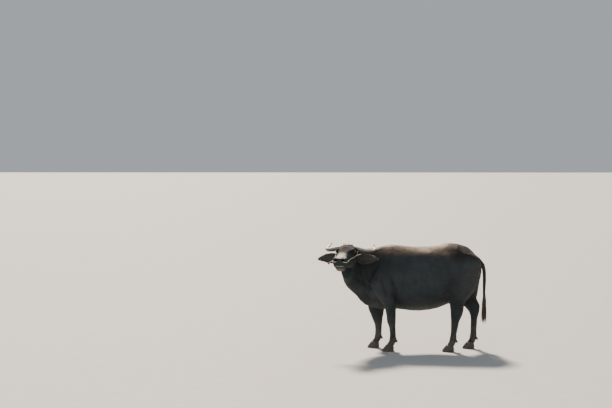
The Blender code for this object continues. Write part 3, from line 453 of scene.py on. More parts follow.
def read(items, name, width):
    values = np.empty(len(items) * width, np.int32 if name == "vertices" else np.float32)
    items.foreach_get(name, values)
    values = values.reshape(-1, width)
    return values if name == "vertices" else values.astype(float)


def cad_centre(node):
    low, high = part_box(node)
    return (low + high) / 2


def head_matrix():
    """From the head's frame to the model's: its turn is known, and the two eyes say where it is."""
    turn = Matrix.Rotation(math.pi + HEAD_TURN, 4, "Z") @ Matrix.Rotation(HEAD_DIP, 4, "Y")
    turn = turn @ Matrix.Rotation(HEAD_ROLL, 4, "X")
    eyes = (cad_centre("eye_left") + cad_centre("eye_right")) / 2
    return Matrix.Translation(eyes - turn @ Vector((EYE[0], 0, EYE[2]))) @ turn


TO_WORLD = np.array(head_matrix())
TO_HEAD = np.linalg.inv(TO_WORLD)
SHIFT = TO_WORLD[:3, 3] - np.array(HEAD_PLACE)


def moved(matrix, points):
    return points @ matrix[:3, :3].T + matrix[:3, 3]


def from_head(*points):
    return moved(TO_WORLD, np.array(points, float))


# The skin over the flesh


def bake(obj):
    """Replaces the object's mesh with the one its modifiers make."""
    graph = bpy.context.evaluated_depsgraph_get()
    mesh = bpy.data.meshes.new_from_object(obj.evaluated_get(graph))
    obj.modifiers.clear()
    obj.data = mesh
    return mesh


def grown_node(name, grow):
    """Points and triangles of a flesh node, with its doubles merged, moved out along its normals."""
    edit = bmesh.new()
    edit.from_mesh(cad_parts[name].data)
    bmesh.ops.remove_doubles(edit, verts=edit.verts, dist=0.00002)
    bmesh.ops.triangulate(edit, faces=edit.faces)
    mesh = bpy.data.meshes.new(name)
    edit.to_mesh(mesh)
    edit.free()
    points = read(mesh.vertices, "co", 3) + read(mesh.vertices, "normal", 3) * grow
    triangles = read(mesh.polygons, "vertices", 3)
    bpy.data.meshes.remove(mesh)
    return points, np.empty((0, 4), int), triangles


def plugs():
    """Bodies that fill the sockets of the horns and ears, so that the skin runs on under their roots."""
    made = []
    for side in SIDES.values():
        for x, y, z, radii in (
            (0.062, 0.088, -0.030, (0.040, 0.046, 0.033)),
            (0.046, 0.080, EAR_ROOT.z, (0.034, 0.036, 0.034)),
            (0.046, 0.102, EAR_ROOT.z, (0.023, 0.020, 0.023)),
        ):
            points, quads, triangles = ball((x, side * y, z), radii, 20)
            made.append((moved(TO_WORLD, points), quads, triangles))
    return made


class Clay:
    """A fine mesh that is modelled as arrays: smoothing first, then soft strokes along its normals."""

    def __init__(self, obj):
        self.mesh = obj.data
        self.points = read(self.mesh.vertices, "co", 3)
        self.edges = read(self.mesh.edges, "vertices", 2)
        self.crease = np.zeros(len(self.points))
        self.refresh()

    def refresh(self):
        """Writes the points to the mesh and reads its normals again."""
        self.mesh.vertices.foreach_set("co", self.points.astype(np.float32).ravel())
        self.mesh.update()
        self.normals = read(self.mesh.vertices, "normal", 3)
        self.in_head = moved(TO_HEAD, self.points)

    def neighbour_mean(self, values):
        """The mean of the values at the ends of each point's edges."""
        a, b = self.edges.T
        total = np.bincount(a, values[b], len(values)) + np.bincount(b, values[a], len(values))
        return total / np.bincount(self.edges.ravel(), minlength=len(values))

    def smooth(self, rounds, weight=1.0, steps=(0.5, -0.52)):
        """Rounds of a step towards the neighbours' mean and a slightly longer one away from it."""
        weight = np.broadcast_to(weight, len(self.points))
        for _ in range(rounds):
            for step in steps:
                mean = np.stack([self.neighbour_mean(self.points[:, i]) for i in range(3)], 1)
                self.points += (step * weight)[:, None] * (mean - self.points)
        self.refresh()

    def distance(self, places, path, reach):
        """Distance of each place to a chain of straight runs, or infinity where it is past the reach."""
        path = np.asarray(path, float)
        low, high = path.min(0) - reach, path.max(0) + reach
        close = np.flatnonzero(((places > low) & (places < high)).all(1))
        nearest = np.full(len(places), np.inf)
        for a, b in zip(path, path[1:]):
            offset = places[close] - a
            share = np.clip(offset @ (b - a) / ((b - a) @ (b - a)), 0, 1)
            gap = np.linalg.norm(offset - share[:, None] * (b - a), axis=1)
            nearest[close] = np.minimum(nearest[close], gap)
        return nearest

    def press(self, amount):
        self.points += self.normals * amount[:, None]
        self.crease += np.clip(-amount, 0, None)

    def on_head(self, path, width, height):
        """A line on both sides of the head: height * exp(-(distance / width)^2)."""
        for side in SIDES.values():
            mirrored = np.asarray(path, float) * (1, side, 1)
            near = self.distance(self.in_head, mirrored, width * 2.6)
            self.press(height * np.exp(-((near / width) ** 2)))

    def on_flank(self, sides, path, width, height):
        """A line on a flank, drawn from the side as x and z in the solids' own numbers."""
        path = np.asarray(path, float) + SHIFT[[0, 2]]
        near = self.distance(self.points[:, [0, 2]], path, width * 2.6)
        shape = height * np.exp(-((near / width) ** 2))
        for side in sides:
            across = side * (self.points[:, 1] - SHIFT[1])
            facing = smoothstep(across, 0, 0.05) * np.clip(side * self.normals[:, 1] * 2, 0, 1)
            self.press(shape * facing)


BOTH, NEAR, FAR = (-1, 1), (-1,), (1,)

HEAD_LINES = (
    # The fat fold over each eye, its wrinkles, and the trough from the inner corner
    (((0.160, 0.108, -0.006), (0.192, 0.112, -0.004), (0.222, 0.098, -0.018)), 0.0090, 0.0014),
    (((0.160, 0.112, -0.016), (0.190, 0.117, -0.013), (0.216, 0.106, -0.024)), 0.0040, -0.0022),
    (((0.165, 0.118, -0.070), (0.190, 0.120, -0.074), (0.222, 0.100, -0.064)), 0.0042, -0.0024),
    (((0.168, 0.117, -0.082), (0.195, 0.117, -0.086), (0.226, 0.098, -0.076)), 0.0045, -0.0016),
    (((0.222, 0.098, -0.052), (0.250, 0.084, -0.068), (0.272, 0.078, -0.078)), 0.0055, -0.0026),
    # The crest of the cheek, the edge of the chewing muscle, and the hollow of the temple
    (((0.225, 0.090, -0.092), (0.300, 0.078, -0.104), (0.350, 0.074, -0.110)), 0.0100, 0.0030),
    (((0.215, 0.100, -0.110), (0.222, 0.095, -0.160), (0.200, 0.080, -0.215)), 0.0090, -0.0030),
    (((0.130, 0.112, -0.060), (0.150, 0.115, -0.085)), 0.0180, -0.0040),
    # The branch of vein on the face, and the folds of skin behind the corner of the mouth
    (((0.250, 0.090, -0.110), (0.290, 0.082, -0.140), (0.310, 0.074, -0.170)), 0.0035, 0.0014),
    (((0.372, 0.080, -0.138), (0.366, 0.078, -0.156), (0.370, 0.072, -0.176)), 0.0050, -0.0026),
    (((0.352, 0.080, -0.140), (0.346, 0.077, -0.160), (0.352, 0.070, -0.180)), 0.0050, -0.0018),
    # The wing of each nostril, the comma behind it and the wrinkles over it
    (((0.462, 0.070, -0.070), (0.490, 0.066, -0.066), (0.507, 0.054, -0.072)), 0.0070, 0.0026),
    (((0.448, 0.078, -0.082), (0.462, 0.082, -0.094), (0.480, 0.078, -0.104)), 0.0045, -0.0026),
    (((0.452, 0.030, -0.036), (0.446, 0.056, -0.044), (0.446, 0.076, -0.062)), 0.0042, -0.0018),
    (((0.434, 0.028, -0.032), (0.428, 0.054, -0.040), (0.428, 0.074, -0.060)), 0.0045, -0.0015),
    (((0.414, 0.026, -0.028), (0.408, 0.052, -0.036), (0.408, 0.070, -0.056)), 0.0050, -0.0012),
    # The full forehead between the brows
    (((0.150, 0.000, 0.002), (0.250, 0.000, -0.006)), 0.0450, 0.0030),
    # The groove down the middle of the upper lip
    (((0.512, 0.000, -0.100), (0.508, 0.000, -0.146)), 0.0035, -0.0016),
    # Folds of the throat behind the jaw
    (((0.080, 0.104, -0.200), (0.110, 0.088, -0.240), (0.130, 0.050, -0.266)), 0.0080, -0.0040),
    (((0.050, 0.104, -0.205), (0.076, 0.090, -0.250), (0.090, 0.050, -0.280)), 0.0090, -0.0030),
)

FLANK_LINES = (
    # Folds that bunch on the inside of the bent neck, and the long ones down to the brisket
    (NEAR, ((-0.520, 1.130), (-0.500, 1.000), (-0.470, 0.860), (-0.440, 0.760)), 0.020, -0.0030),
    (NEAR, ((-0.560, 1.080), (-0.548, 0.980), (-0.520, 0.860), (-0.500, 0.790)), 0.014, -0.0024),
    (NEAR, ((-0.470, 1.170), (-0.440, 1.020), (-0.410, 0.880), (-0.390, 0.760)), 0.020, -0.0024),
    (NEAR, ((-0.425, 1.190), (-0.385, 1.050), (-0.350, 0.930)), 0.022, -0.0018),
    (FAR, ((-0.470, 1.170), (-0.450, 1.000), (-0.420, 0.860)), 0.020, -0.0035),
    (BOTH, ((-0.470, 0.720), (-0.400, 0.640), (-0.340, 0.590)), 0.016, -0.0030),
    # Ribs, faint under the hide
    (BOTH, ((0.030, 1.060), (0.055, 0.900), (0.040, 0.760)), 0.018, 0.0022),
    (BOTH, ((0.100, 1.070), (0.130, 0.910), (0.120, 0.760)), 0.018, 0.0026),
    (BOTH, ((0.170, 1.080), (0.205, 0.920), (0.200, 0.760)), 0.018, 0.0030),
    (BOTH, ((0.240, 1.085), (0.280, 0.930), (0.285, 0.780)), 0.018, 0.0032),
    (BOTH, ((0.310, 1.090), (0.350, 0.950), (0.365, 0.820)), 0.018, 0.0032),
    (BOTH, ((0.380, 1.095), (0.425, 0.980), (0.450, 0.880)), 0.018, 0.0030),
    # Folds behind the elbow and along the belly
    (BOTH, ((-0.060, 0.760), (-0.075, 0.660), (-0.060, 0.590)), 0.014, -0.0030),
    (BOTH, ((0.060, 0.560), (0.200, 0.545), (0.340, 0.560)), 0.009, 0.0028),
    # Folds of the flank skin in front of the stifle
    (BOTH, ((0.480, 0.700), (0.540, 0.760), (0.580, 0.850), (0.600, 0.930)), 0.012, -0.0030),
    (BOTH, ((0.450, 0.650), (0.520, 0.690), (0.575, 0.760)), 0.011, -0.0028),
    # Muscles of the upper arm and thigh
    (BOTH, ((-0.130, 0.900), (-0.100, 0.780), (-0.110, 0.690)), 0.024, -0.0026),
    (BOTH, ((-0.250, 0.860), (-0.215, 0.760), (-0.190, 0.680)), 0.024, -0.0026),
    (NEAR, ((0.660, 0.900), (0.640, 0.780), (0.630, 0.690)), 0.016, -0.0022),
    (FAR, ((0.680, 0.900), (0.690, 0.780), (0.720, 0.690)), 0.015, -0.0035),
    (NEAR, ((0.705, 0.640), (0.705, 0.560), (0.700, 0.500)), 0.008, -0.0045),
    (FAR, ((0.855, 0.620), (0.905, 0.560), (0.915, 0.500)), 0.008, -0.0035),
    # Tendons of the lower legs
    (NEAR, ((-0.098, 0.320), (-0.094, 0.230), (-0.096, 0.170)), 0.0060, -0.0032),
    (FAR, ((-0.284, 0.320), (-0.280, 0.230), (-0.282, 0.170)), 0.0060, -0.0032),
    (NEAR, ((0.652, 0.380), (0.640, 0.260), (0.632, 0.180)), 0.0060, -0.0032),
    (FAR, ((0.898, 0.380), (0.892, 0.260), (0.888, 0.180)), 0.0060, -0.0032),
)

# Rolls of the upper and lower lip and the slit between: height over the mouth, width, amount
LIPS = ((0.0085, 0.0060, 0.0018), (-0.0090, 0.0065, 0.0026), (0.0, 0.0034, -0.0068))

# Creases round the legs, and last the coronet over the claws: height over the floor, width, amount
LEG_RINGS = (
    (0.115, 0.005, -0.0016),
    (0.128, 0.005, -0.0016),
    (0.350, 0.005, -0.0016),
    (0.372, 0.005, -0.0016),
    (0.080, 0.008, 0.0016),
)

SKIN_TRIANGLES = 190000


def above_mouth(clay):
    """Height of each point above the line of the mouth, and 1 on the muzzle in front of its corners."""
    x = clay.in_head[:, 0]
    line = -0.152 + 0.006 * np.clip((x - 0.385) / 0.118, 0, 1)
    return clay.in_head[:, 2] - line, smoothstep(x, 0.378, 0.396)


def shape_eye_sockets(clay):
    """Leads the skin round each eye onto the ball: under it inside the almond, just over it outside."""
    for side in SIDES.values():
        forward, up, out = eye_axes(side)
        offset = clay.in_head - EYE * (1, side, 1)
        reach = np.linalg.norm(offset, axis=1)
        facing = offset @ out
        near = np.flatnonzero((reach < 0.060) & (facing > 0.15 * reach))
        offset, reach, facing = offset[near], reach[near], facing[near]
        ring = np.hypot(offset @ forward / facing / 0.98, offset @ up / facing / 0.50)
        on_lid = 0.92 * EYE_RADIUS + (0.08 * EYE_RADIUS + 0.0026) * smoothstep(ring, 1.05, 1.5)
        target = on_lid + (reach - on_lid) * smoothstep(ring, 1.5, 3.6)
        centre = from_head(EYE * (1, side, 1))[0]
        clay.points[near] = centre + (clay.points[near] - centre) * (target / reach)[:, None]
    clay.refresh()


def model_head(clay):
    for path, width, height in HEAD_LINES:
        clay.on_head(path, width, height)
    height, ahead = above_mouth(clay)
    for level, width, amount in LIPS:
        clay.press(amount * np.exp(-(((height - level) / width) ** 2)) * ahead)


def model_body(clay):
    """The lines of the flanks, then the creases and the coronet, all round each leg."""
    for sides, path, width, height in FLANK_LINES:
        clay.on_flank(sides, path, width, height)
    for level, width, amount in LEG_RINGS:
        clay.press(amount * np.exp(-(((clay.points[:, 2] - level) / width) ** 2)))


def lumps(points, scale, seed):
    """Smooth random unevenness from a few crossed waves: the mean of sin(k . p + phase)."""
    rng = np.random.default_rng(seed)
    waves = unit(rng.normal(size=(14, 3))) * rng.uniform(0.6, 1.5, (14, 1)) * 2 * math.pi / scale
    return np.sin(points @ waves.T + rng.uniform(0, 6.28, 14)).mean(1)


def thin(obj, fineness):
    """Takes triangles out of the skin, most where fineness is 1, until it has the number it may have."""
    group = obj.vertex_groups.new(name="coarse")
    for level in range(1, 11):
        members = np.flatnonzero(np.round(fineness * 10) == level)
        group.add(members.tolist(), level / 10, "REPLACE")
    decimate = obj.modifiers.new("Decimate", "DECIMATE")
    decimate.ratio = SKIN_TRIANGLES / (2 * len(obj.data.polygons))
    decimate.use_collapse_triangulate = True
    decimate.vertex_group = group.name
    decimate.vertex_group_factor = 4.0
    bake(obj)
    obj.vertex_groups.clear()


def make_skin():
    """The flesh nodes fused into one skin, freed of facets, modelled, and thinned most on the body."""
    hide = settings().hide
    # The nodes are grown by this much, so that the gaps between them close
    bridge = 0.0007
    parts = [grown_node(name, bridge) for name in FLESH] + plugs()
    obj = bpy.data.objects.new("hide", make_mesh("hide", *joined(parts)))
    bpy.context.scene.collection.objects.link(obj)
    remesh = obj.modifiers.new("Remesh", "REMESH")
    remesh.mode = "VOXEL"
    remesh.voxel_size = hide.voxel * 1
    bake(obj)
    clay = Clay(obj)
    off_head = smoothstep(-clay.in_head[:, 0], -0.02, 0.10)
    low_leg = smoothstep(clay.points[:, 2], 0.10, 0.30)
    clay.smooth(5)
    clay.smooth(44, off_head * (0.25 + 0.75 * low_leg))
    hips = smoothstep(clay.points[:, 0], 0.50, 0.60) * smoothstep(clay.points[:, 2], 0.96, 1.06)
    clay.smooth(70, hips, (0.5,))
    model_body(clay)
    clay.refresh()
    model_head(clay)
    clay.press(0.0011 * lumps(clay.points, 0.055, 3) * off_head)
    clay.press(np.full(len(clay.points), bridge - hide.coat_depth))
    clay.crease = np.clip(clay.crease - (hide.coat_depth - bridge), 0, None)
    clay.refresh()
    shape_eye_sockets(clay)
    # The depth of the pressed creases, where the skin's colour paints shade
    store(obj.data, "crease", np.clip(clay.crease / 0.004, 0, 1))
    height, _ = above_mouth(clay)
    # A band along the top of the lower lip, where the skin's colour paints a highlight
    in_front = (clay.in_head[:, 0] > 0.43) * smoothstep(-np.abs(clay.in_head[:, 1]), -0.058, -0.036)
    store(obj.data, "lip", np.exp(-(((height + 0.0065) / 0.0042) ** 2)) * in_front)
    thin(obj, 0.04 + 0.96 * off_head * smoothstep(clay.points[:, 2], 0.05, 0.16))
    mesh = obj.data
    bpy.data.objects.remove(obj)
    return mesh


def shaded(shader):
    """1 on the forehead and over the croup, where shade is painted: the colour is darkened nearly to black
    there, and the hide made duller.
    """
    forehead = shader.distance(from_head((0.150, 0, 0.000))[0]).step(0.215, 0.120)
    croup = shader.axis("X").step(0.54, 0.68) * shader.axis("Z").step(1.05, 1.17) * 0.75
    return forehead.math("MAXIMUM", croup)


def hide_tones(shader):
    """The colour of hide and coat alike: blue-black, browner on top, dusty below, pale at the chin; the
    brown and tan along the back and the pale bridge of the nose are painted sunlight, and the forehead and
    croup carry painted shade.
    """
    hide = settings().hide
    height = shader.axis("Z")
    cloudy = shader.noise(2.6, detail=5.0, roughness=0.6).step(0.36, 0.66)
    streaks = shader.noise(9.0, shader.stretched((1.0, 3.0, 3.5)), detail=6.0).step(0.38, 0.70)
    tone = shader.mix(cloudy * 0.75, hide.dark, hide.grey)
    # Painted sunlight: warm brown over the upper body from the withers back, where the sun lights the back
    back = height.step(1.08, 1.26) * shader.axis("X").step(-0.50, -0.20)
    tone = shader.mix(back * (streaks * 0.40 + 0.30), tone, hide.brown)
    # Painted highlight: pale tan along the very top of the back, where the sun lights it
    along = shader.axis("X") + 0.16 * shader.noise(5.0)
    ragged = height + 0.05 * shader.noise(7.0)
    top = ragged.step(1.165, 1.262) * along.step(-0.42, 0.10) * along.step(0.78, 0.56)
    tone = shader.mix(top * (streaks * 0.40 + 0.42), tone, hide.tan)
    rump = shader.axis("X").step(0.45, 0.95) * height.step(0.45, 0.90)
    tone = shader.mix(rump * (streaks * 0.16), tone, hide.brown)
    mud = height.step(0.46, 0.05) * shader.noise(11.0, detail=7.0, roughness=0.65).step(0.40, 0.62)
    tone = shader.mix(mud * 0.75, tone, hide.dust)
    # Painted shade: the forehead and croup are darkened nearly to black where they lie in shade
    black = shaded(shader)
    tone = shader.mix(black * 0.85, tone, (0.006, 0.007, 0.008))
    brow = shader.distance(from_head((0.045, 0, 0.000))[0]).step(0.110, 0.060) * streaks
    tone = shader.mix(brow * 0.55, tone, (0.150, 0.075, 0.045))
    # The chin's pale is its hair's own; the pale patch on the bridge of the nose is painted sunlight
    chin = shader.distance(from_head((0.455, 0, -0.215))[0]).step(0.064, 0.042)
    bridge = shader.distance(from_head((0.405, 0, -0.030))[0]).step(0.084, 0.046)
    tone = shader.mix(chin * (0.14 + 0.20 * streaks), tone, hide.pale)
    return shader.mix(bridge * (0.60 + 0.35 * streaks), tone, hide.pale)


def near_muzzle(shader):
    """1 on the bare muzzle between and under the nostrils, fading to 0 over the hairy lip."""
    front = shader.distance(from_head((0.520, 0, -0.095))[0])
    return (front + 0.012 * shader.noise(40.0)).step(0.078, 0.056)


def skin_material():
    shader = Shader("hide", Specular_IOR_Level=0.32)
    muzzle = near_muzzle(shader)
    # Painted shade: darker in the creases pressed into the skin
    tone = shader.mix(shader.attribute("crease") * 0.65, hide_tones(shader), (0.006, 0.006, 0.007))
    tone = shader.mix(muzzle, tone, settings().hide.muzzle)
    # Painted highlight: pale along the top of the lower lip, where light catches it
    tone = shader.mix(shader.attribute("lip") * 0.7, tone, settings().hide.pale)
    pebbles = shader.cells(120.0).step(0.0, 0.22)
    wrinkles = shader.cells(34.0, shader.stretched((1.0, 1.0, 0.45))).step(0.0, 0.10)
    hairs = shader.noise(150.0, shader.stretched((0.16, 1.0, 0.55)), detail=3.0)
    fine = shader.noise(420.0, detail=2.0)
    nose_cells = shader.cells(330.0).step(0.0, 0.30)
    relief = 0.60 * hairs + 0.12 * pebbles + 0.14 * wrinkles + 0.20 * fine
    relief = relief * (1 - muzzle) + 0.14 * nose_cells * muzzle
    rough = 0.58 + 0.22 * shader.noise(14.0) + 0.06 * hairs
    return shader.set(
        Base_Color=tone,
        Roughness=(rough + 0.25 * shaded(shader)) * (1 - muzzle) + 0.44 * muzzle,
        Normal=shader.bump(relief, 0.0012, 0.75),
    )


def coat_material(name, shine):
    """The coat: the tones of the hide, with every tuft a little lighter or darker than the next."""
    shader = Shader(name, Specular_IOR_Level=0.35 * shine, Sheen_Weight=0.18 * shine, Sheen_Roughness=0.4)
    shader.plug(shader.surface.inputs["Sheen Tint"], (1.0, 0.72, 0.50))
    tone = shader.mix(shader.attribute("tone") * 0.32, hide_tones(shader), (0.100, 0.074, 0.056))
    return shader.set(Base_Color=tone, Roughness=0.55 + 0.35 * shaded(shader))


def hair_material(name, deep, bright):
    """Long hair: dark at its roots, and brighter where the sun has bleached its tips."""
    shader = Shader(name, Roughness=0.42, Specular_IOR_Level=0.5, Sheen_Weight=0.20)
    bleached = shader.attribute("tone") * 0.5 + 0.4 * shader.attribute("along")
    return shader.set(Base_Color=shader.mix(bleached, deep, bright))


# Eyes and lids


def eye_axes(side):
    """Forward along the lids, up and outward from the eye, in the head's frame."""
    out = unit(np.array([0.34, side * 0.93, 0.10]))
    forward = unit(np.cross(np.array([0, 0, 1.0]), out) * -side)
    forward = unit(forward + np.array([0, 0, -0.22]))
    up = unit(np.cross(forward, out) * side)
    return forward, np.abs(up[2]) / up[2] * up, out


def eyeball(side):
    """A ball whose front bulges: radius * (1 + bulge * exp(-(angle / 0.5)^2)) off the gaze axis."""
    forward, up, out = eye_axes(side)
    tilt = np.linspace(0, math.pi, 33)[1:-1, None]
    turn = np.arange(48) / 48 * 2 * math.pi
    reach = EYE_RADIUS * 0.985 * (1 + 0.055 * np.exp(-((tilt / 0.55) ** 2)))
    rings = (
        (reach * np.cos(tilt) + 0 * turn)[..., None] * out
        + (reach * np.sin(tilt) * np.cos(turn))[..., None] * forward
        + (reach * np.sin(tilt) * np.sin(turn))[..., None] * up
    )
    points, quads, triangles = skin_of_rings(rings)
    points[-2:] = (out * EYE_RADIUS * 1.04, -out * EYE_RADIUS * 0.985)
    mesh = make_mesh("eye", from_head(*(points + EYE * (1, side, 1))), quads, triangles)
    flat = np.column_stack([points @ forward, points @ up]) / EYE_RADIUS
    store(mesh, "iris", np.where(points @ out > 0, np.hypot(*flat.T), 1.5))
    store(mesh, "pupil", np.hypot(flat[:, 0] / 1.5, flat[:, 1] / 0.8))
    return turned_out(mesh)


def lid_surface(side):
    """A rolled rim round an almond opening: from the margin on the ball it rises, rolls over and sinks.

    The almond is the direction out + forward * wide * cos u + up * tall * sin u, and v runs outwards.
    """
    forward, up, out = eye_axes(side)
    u = np.arange(96)[:, None] / 96 * 2 * math.pi
    across, along = np.cos(u), np.sign(np.sin(u)) * np.abs(np.sin(u)) ** 1.25
    v = np.linspace(0, 1, 15)
    wide = 0.98 + 0.55 * v
    tall = np.where(np.sin(u) > 0, 0.50, 0.46) + v * np.where(np.sin(u) > 0, 0.52, 0.46)
    toward = unit(
        out
        + forward * (across * wide)[..., None]
        + up * (along * tall - 0.05 * across)[..., None]
    )
    roll = 0.0036 * np.sin(math.pi * np.clip(v / 0.62, 0, 1)) ** 0.8
    folds = 0.0005 * np.cos(v * 22 + 0.4 * np.cos(u)) * (v > 0.3) * np.abs(np.sin(u))
    reach = EYE_RADIUS + 0.0006 + roll + folds - 0.006 * smoothstep(v, 0.55, 1.0)
    rings = toward * reach[..., None]
    inner = unit(rings[:, :1]) * (EYE_RADIUS - 0.004)
    rings = np.concatenate([inner, rings], axis=1)
    points, quads, _ = skin_of_rings(rings.transpose(1, 0, 2))
    return from_head(*(points[:-2] + EYE * (1, side, 1))), quads, np.empty((0, 3), int)


def eye_material():
    shader = Shader("eye", Specular_IOR_Level=0.35, Coat_Weight=0.35, Coat_Roughness=0.03)
    iris, pupil = shader.attribute("iris"), shader.attribute("pupil")
    rays = shader.noise(220.0, detail=3.0).step(0.35, 0.70)
    brown = shader.mix(rays, (0.020, 0.009, 0.004), (0.062, 0.030, 0.013))
    brown = shader.mix(iris.step(0.52, 0.66), brown, (0.008, 0.005, 0.004))
    white = shader.mix(shader.noise(90.0).step(0.5, 0.7) * 0.4, (0.26, 0.20, 0.17), (0.16, 0.06, 0.045))
    tone = shader.mix(iris.step(0.68, 0.76), brown, white)
    tone = shader.mix(pupil.step(0.34, 0.26), tone, (0.002, 0.002, 0.003))
    return shader.set(Base_Color=tone, Roughness=0.08)


def lid_material():
    shader = Shader("lids", Specular_IOR_Level=0.5)
    fine = shader.cells(520.0).step(0.0, 0.3)
    tone = shader.mix(shader.noise(70.0).step(0.4, 0.7), (0.010, 0.010, 0.011), (0.030, 0.028, 0.027))
    return shader.set(Base_Color=tone, Roughness=0.40, Normal=shader.bump(fine, 0.0004, 0.6))


# Horns, ears and claws


def horn_piece(side):
    """A crescent along the horn's line: sections taper, deeper than wide, with growth rings.

    Ring height = ridge * |cos|^0.6 of a phase that runs faster near the root, fading to the tip.
    """
    horn = settings().horn
    rows = through(HORN, 16)
    rows[:, 1] *= side
    side_axis, up_axis = frames_along(rows[:, :3], (0, 0, 1))
    share = rows[:, 3]
    taper = horn.root + (horn.tip - horn.root) * share**2
    phase = 78 * share**0.85 + 0.6 * np.sin(share * 31)
    rings_up = horn.ridge * (np.abs(np.cos(phase)) ** 0.6 - 0.6) * np.clip(1.05 - 1.35 * share, 0, 1)
    angle = np.arange(40) / 40 * 2 * math.pi
    across, along = np.cos(angle), np.sin(angle)
    square = (np.abs(across) ** 2.3 + np.abs(along) ** 2.3) ** (-1 / 2.3)
    reach = (taper + rings_up)[:, None] * square * 0.985
    reach *= 1 + 0.012 * np.sin(3 * angle + 9 * share[:, None])
    offsets = (reach * across * 1.08)[..., None] * side_axis[:, None]
    offsets += (reach * along * 0.90)[..., None] * up_axis[:, None]
    rings = rows[:, None, :3] + offsets
    dome = (1.0, 0.85, 0.55)
    ahead = unit(rows[-1, :3] - rows[-2, :3])
    caps = [rows[-1, :3] + ahead * horn.tip * (1.15 - d) * 2 + offsets[-1] * d * 0.8 for d in dome]
    points, quads, triangles = skin_of_rings(np.concatenate([rings, caps]))
    mesh = turned_out(make_mesh("horn", moved(TO_WORLD, points), quads, triangles))
    along_horn = np.concatenate([np.repeat(share, 40), np.ones(40 * len(caps)), [0, 1]])
    store(mesh, "along", along_horn)
    # 1 on the underside, which the horn's colour darkens as painted shade
    below = np.tile(smoothstep(-along, -0.60, 0.10), len(rows) + len(caps))
    store(mesh, "below", np.concatenate([below, [0, 0]]))
    store(mesh, "ring", np.concatenate([np.repeat(rings_up / horn.ridge, 40), np.zeros(40 * len(caps) + 2)]))
    return mesh


def horn_material():
    horn = settings().horn
    shader = Shader("horn", Specular_IOR_Level=0.5, Coat_Roughness=0.35)
    share, ring = shader.attribute("along"), shader.attribute("ring")
    streaks = shader.noise(26.0, shader.stretched((1.0, 0.35, 1.0)), detail=7.0, roughness=0.65)
    tone = shader.mix(streaks.step(0.35, 0.70), tuple(0.55 * c for c in horn.colour), horn.colour)
    # Painted shade: darker in the grooves between the growth rings
    tone = shader.mix(ring.step(0.1, -0.5) * 0.55, tone, (0.070, 0.058, 0.048))
    tone = shader.mix(share.step(0.80, 0.98) * 0.9, tone, horn.tip_colour)
    shade = shader.attribute("below") * share.step(0.95, 0.70) * 0.92
    tone = shader.mix(shade, tone, (0.024, 0.022, 0.021))
    scratches = shader.noise(240.0, detail=3.0)
    relief = 0.6 * streaks + 0.4 * scratches
    return shader.set(
        Base_Color=tone,
        Roughness=0.50 - 0.14 * share + 0.12 * scratches,
        Normal=shader.bump(relief, 0.0009, 0.7),
    )


def ear_shape(side, stations=64, sides=26):
    """A cupped leaf along +X, open towards -Y: two arcs, the outer skin and the inner, at each station.

    Half width follows sin(pi * share^0.85)^0.9. The arc closes towards the root, where it is solid.
    """
    share = np.linspace(-0.02, 1, stations)
    held = np.clip(share, 0, 1)
    x = -0.045 + share * (EAR_LENGTH + 0.045)
    leaf = np.sin(math.pi * np.minimum(1, 0.10 + 0.86 * held) ** 0.85) ** 0.9
    half = EAR_WIDTH / 2 * (0.30 * (1 - held) + leaf * 0.97) * np.sqrt(np.maximum(1 - held**8, 0.03))
    half *= 0.42 + 0.58 * np.sin(math.pi / 2 * np.minimum(1, held / 0.40))
    half *= 1 + 0.018 * np.sin(held * 23) * smoothstep(held, 0.25, 0.5)
    roll = np.radians(40 + 80 * (1 - held) ** 1.5)
    radius = half / np.sin(np.minimum(roll, math.pi / 2))
    wall = np.maximum(0.0058 - 0.003 * held, radius * 0.93 * (1 - held / 0.30))
    spread = np.linspace(-1, 1, sides)
    angle = spread * roll[:, None]
    fade = smoothstep(held, 0.18, 0.35) * smoothstep(held, 1.0, 0.80)
    ridges = 0.0022 * fade[:, None] * np.cos(spread * 10.5) ** 2 * (1 - spread**2)
    edge = 1 - 0.45 * smoothstep(np.abs(spread), 0.86, 1.0)
    outer = radius[:, None] - 0.0008 + 0 * angle
    inner = radius[:, None] - wall[:, None] * edge + 0.0004 - ridges
    reach = np.concatenate([outer, inner[:, ::-1]], axis=1)
    turn = np.concatenate([angle, angle[:, ::-1]], axis=1)
    section = np.stack([reach * np.cos(turn) - radius[:, None] * 0.55, reach * np.sin(turn)], -1)
    rings = np.concatenate([np.broadcast_to(x[:, None, None], (stations, 2 * sides, 1)), section], -1)
    back, droop = EAR_POSES[side]
    turn = Matrix.Rotation(math.pi / 2 + back, 4, "Z") @ Matrix.Rotation(droop, 4, "Y")
    placed = moved(np.array(Matrix.Translation(EAR_ROOT) @ turn), rings)
    placed = placed * (1, SIDES[side], 1)
    return moved(TO_WORLD, placed)


def ear_piece(side):
    rings = ear_shape(side)
    points, quads, triangles = skin_of_rings(rings)
    mesh = turned_out(make_mesh("ear", points, quads, triangles))
    sides = rings.shape[1]
    within = np.tile((np.arange(sides) >= sides // 2).astype(float), len(rings))
    store(mesh, "inner", np.concatenate([within, [0, 0]]))
    return mesh


def ear_material():
    shader = Shader("ear", Specular_IOR_Level=0.4, Sheen_Weight=0.10)
    cup = shader.attribute("inner") * shader.noise(30.0).step(0.25, 0.60)
    tone = shader.mix(cup * 0.6, hide_tones(shader), (0.040, 0.034, 0.032))
    hairs = shader.noise(160.0, shader.stretched((1.0, 1.0, 0.3)), detail=4.0)
    return shader.set(Base_Color=tone, Roughness=0.60, Normal=shader.bump(hairs, 0.0010, 0.6))


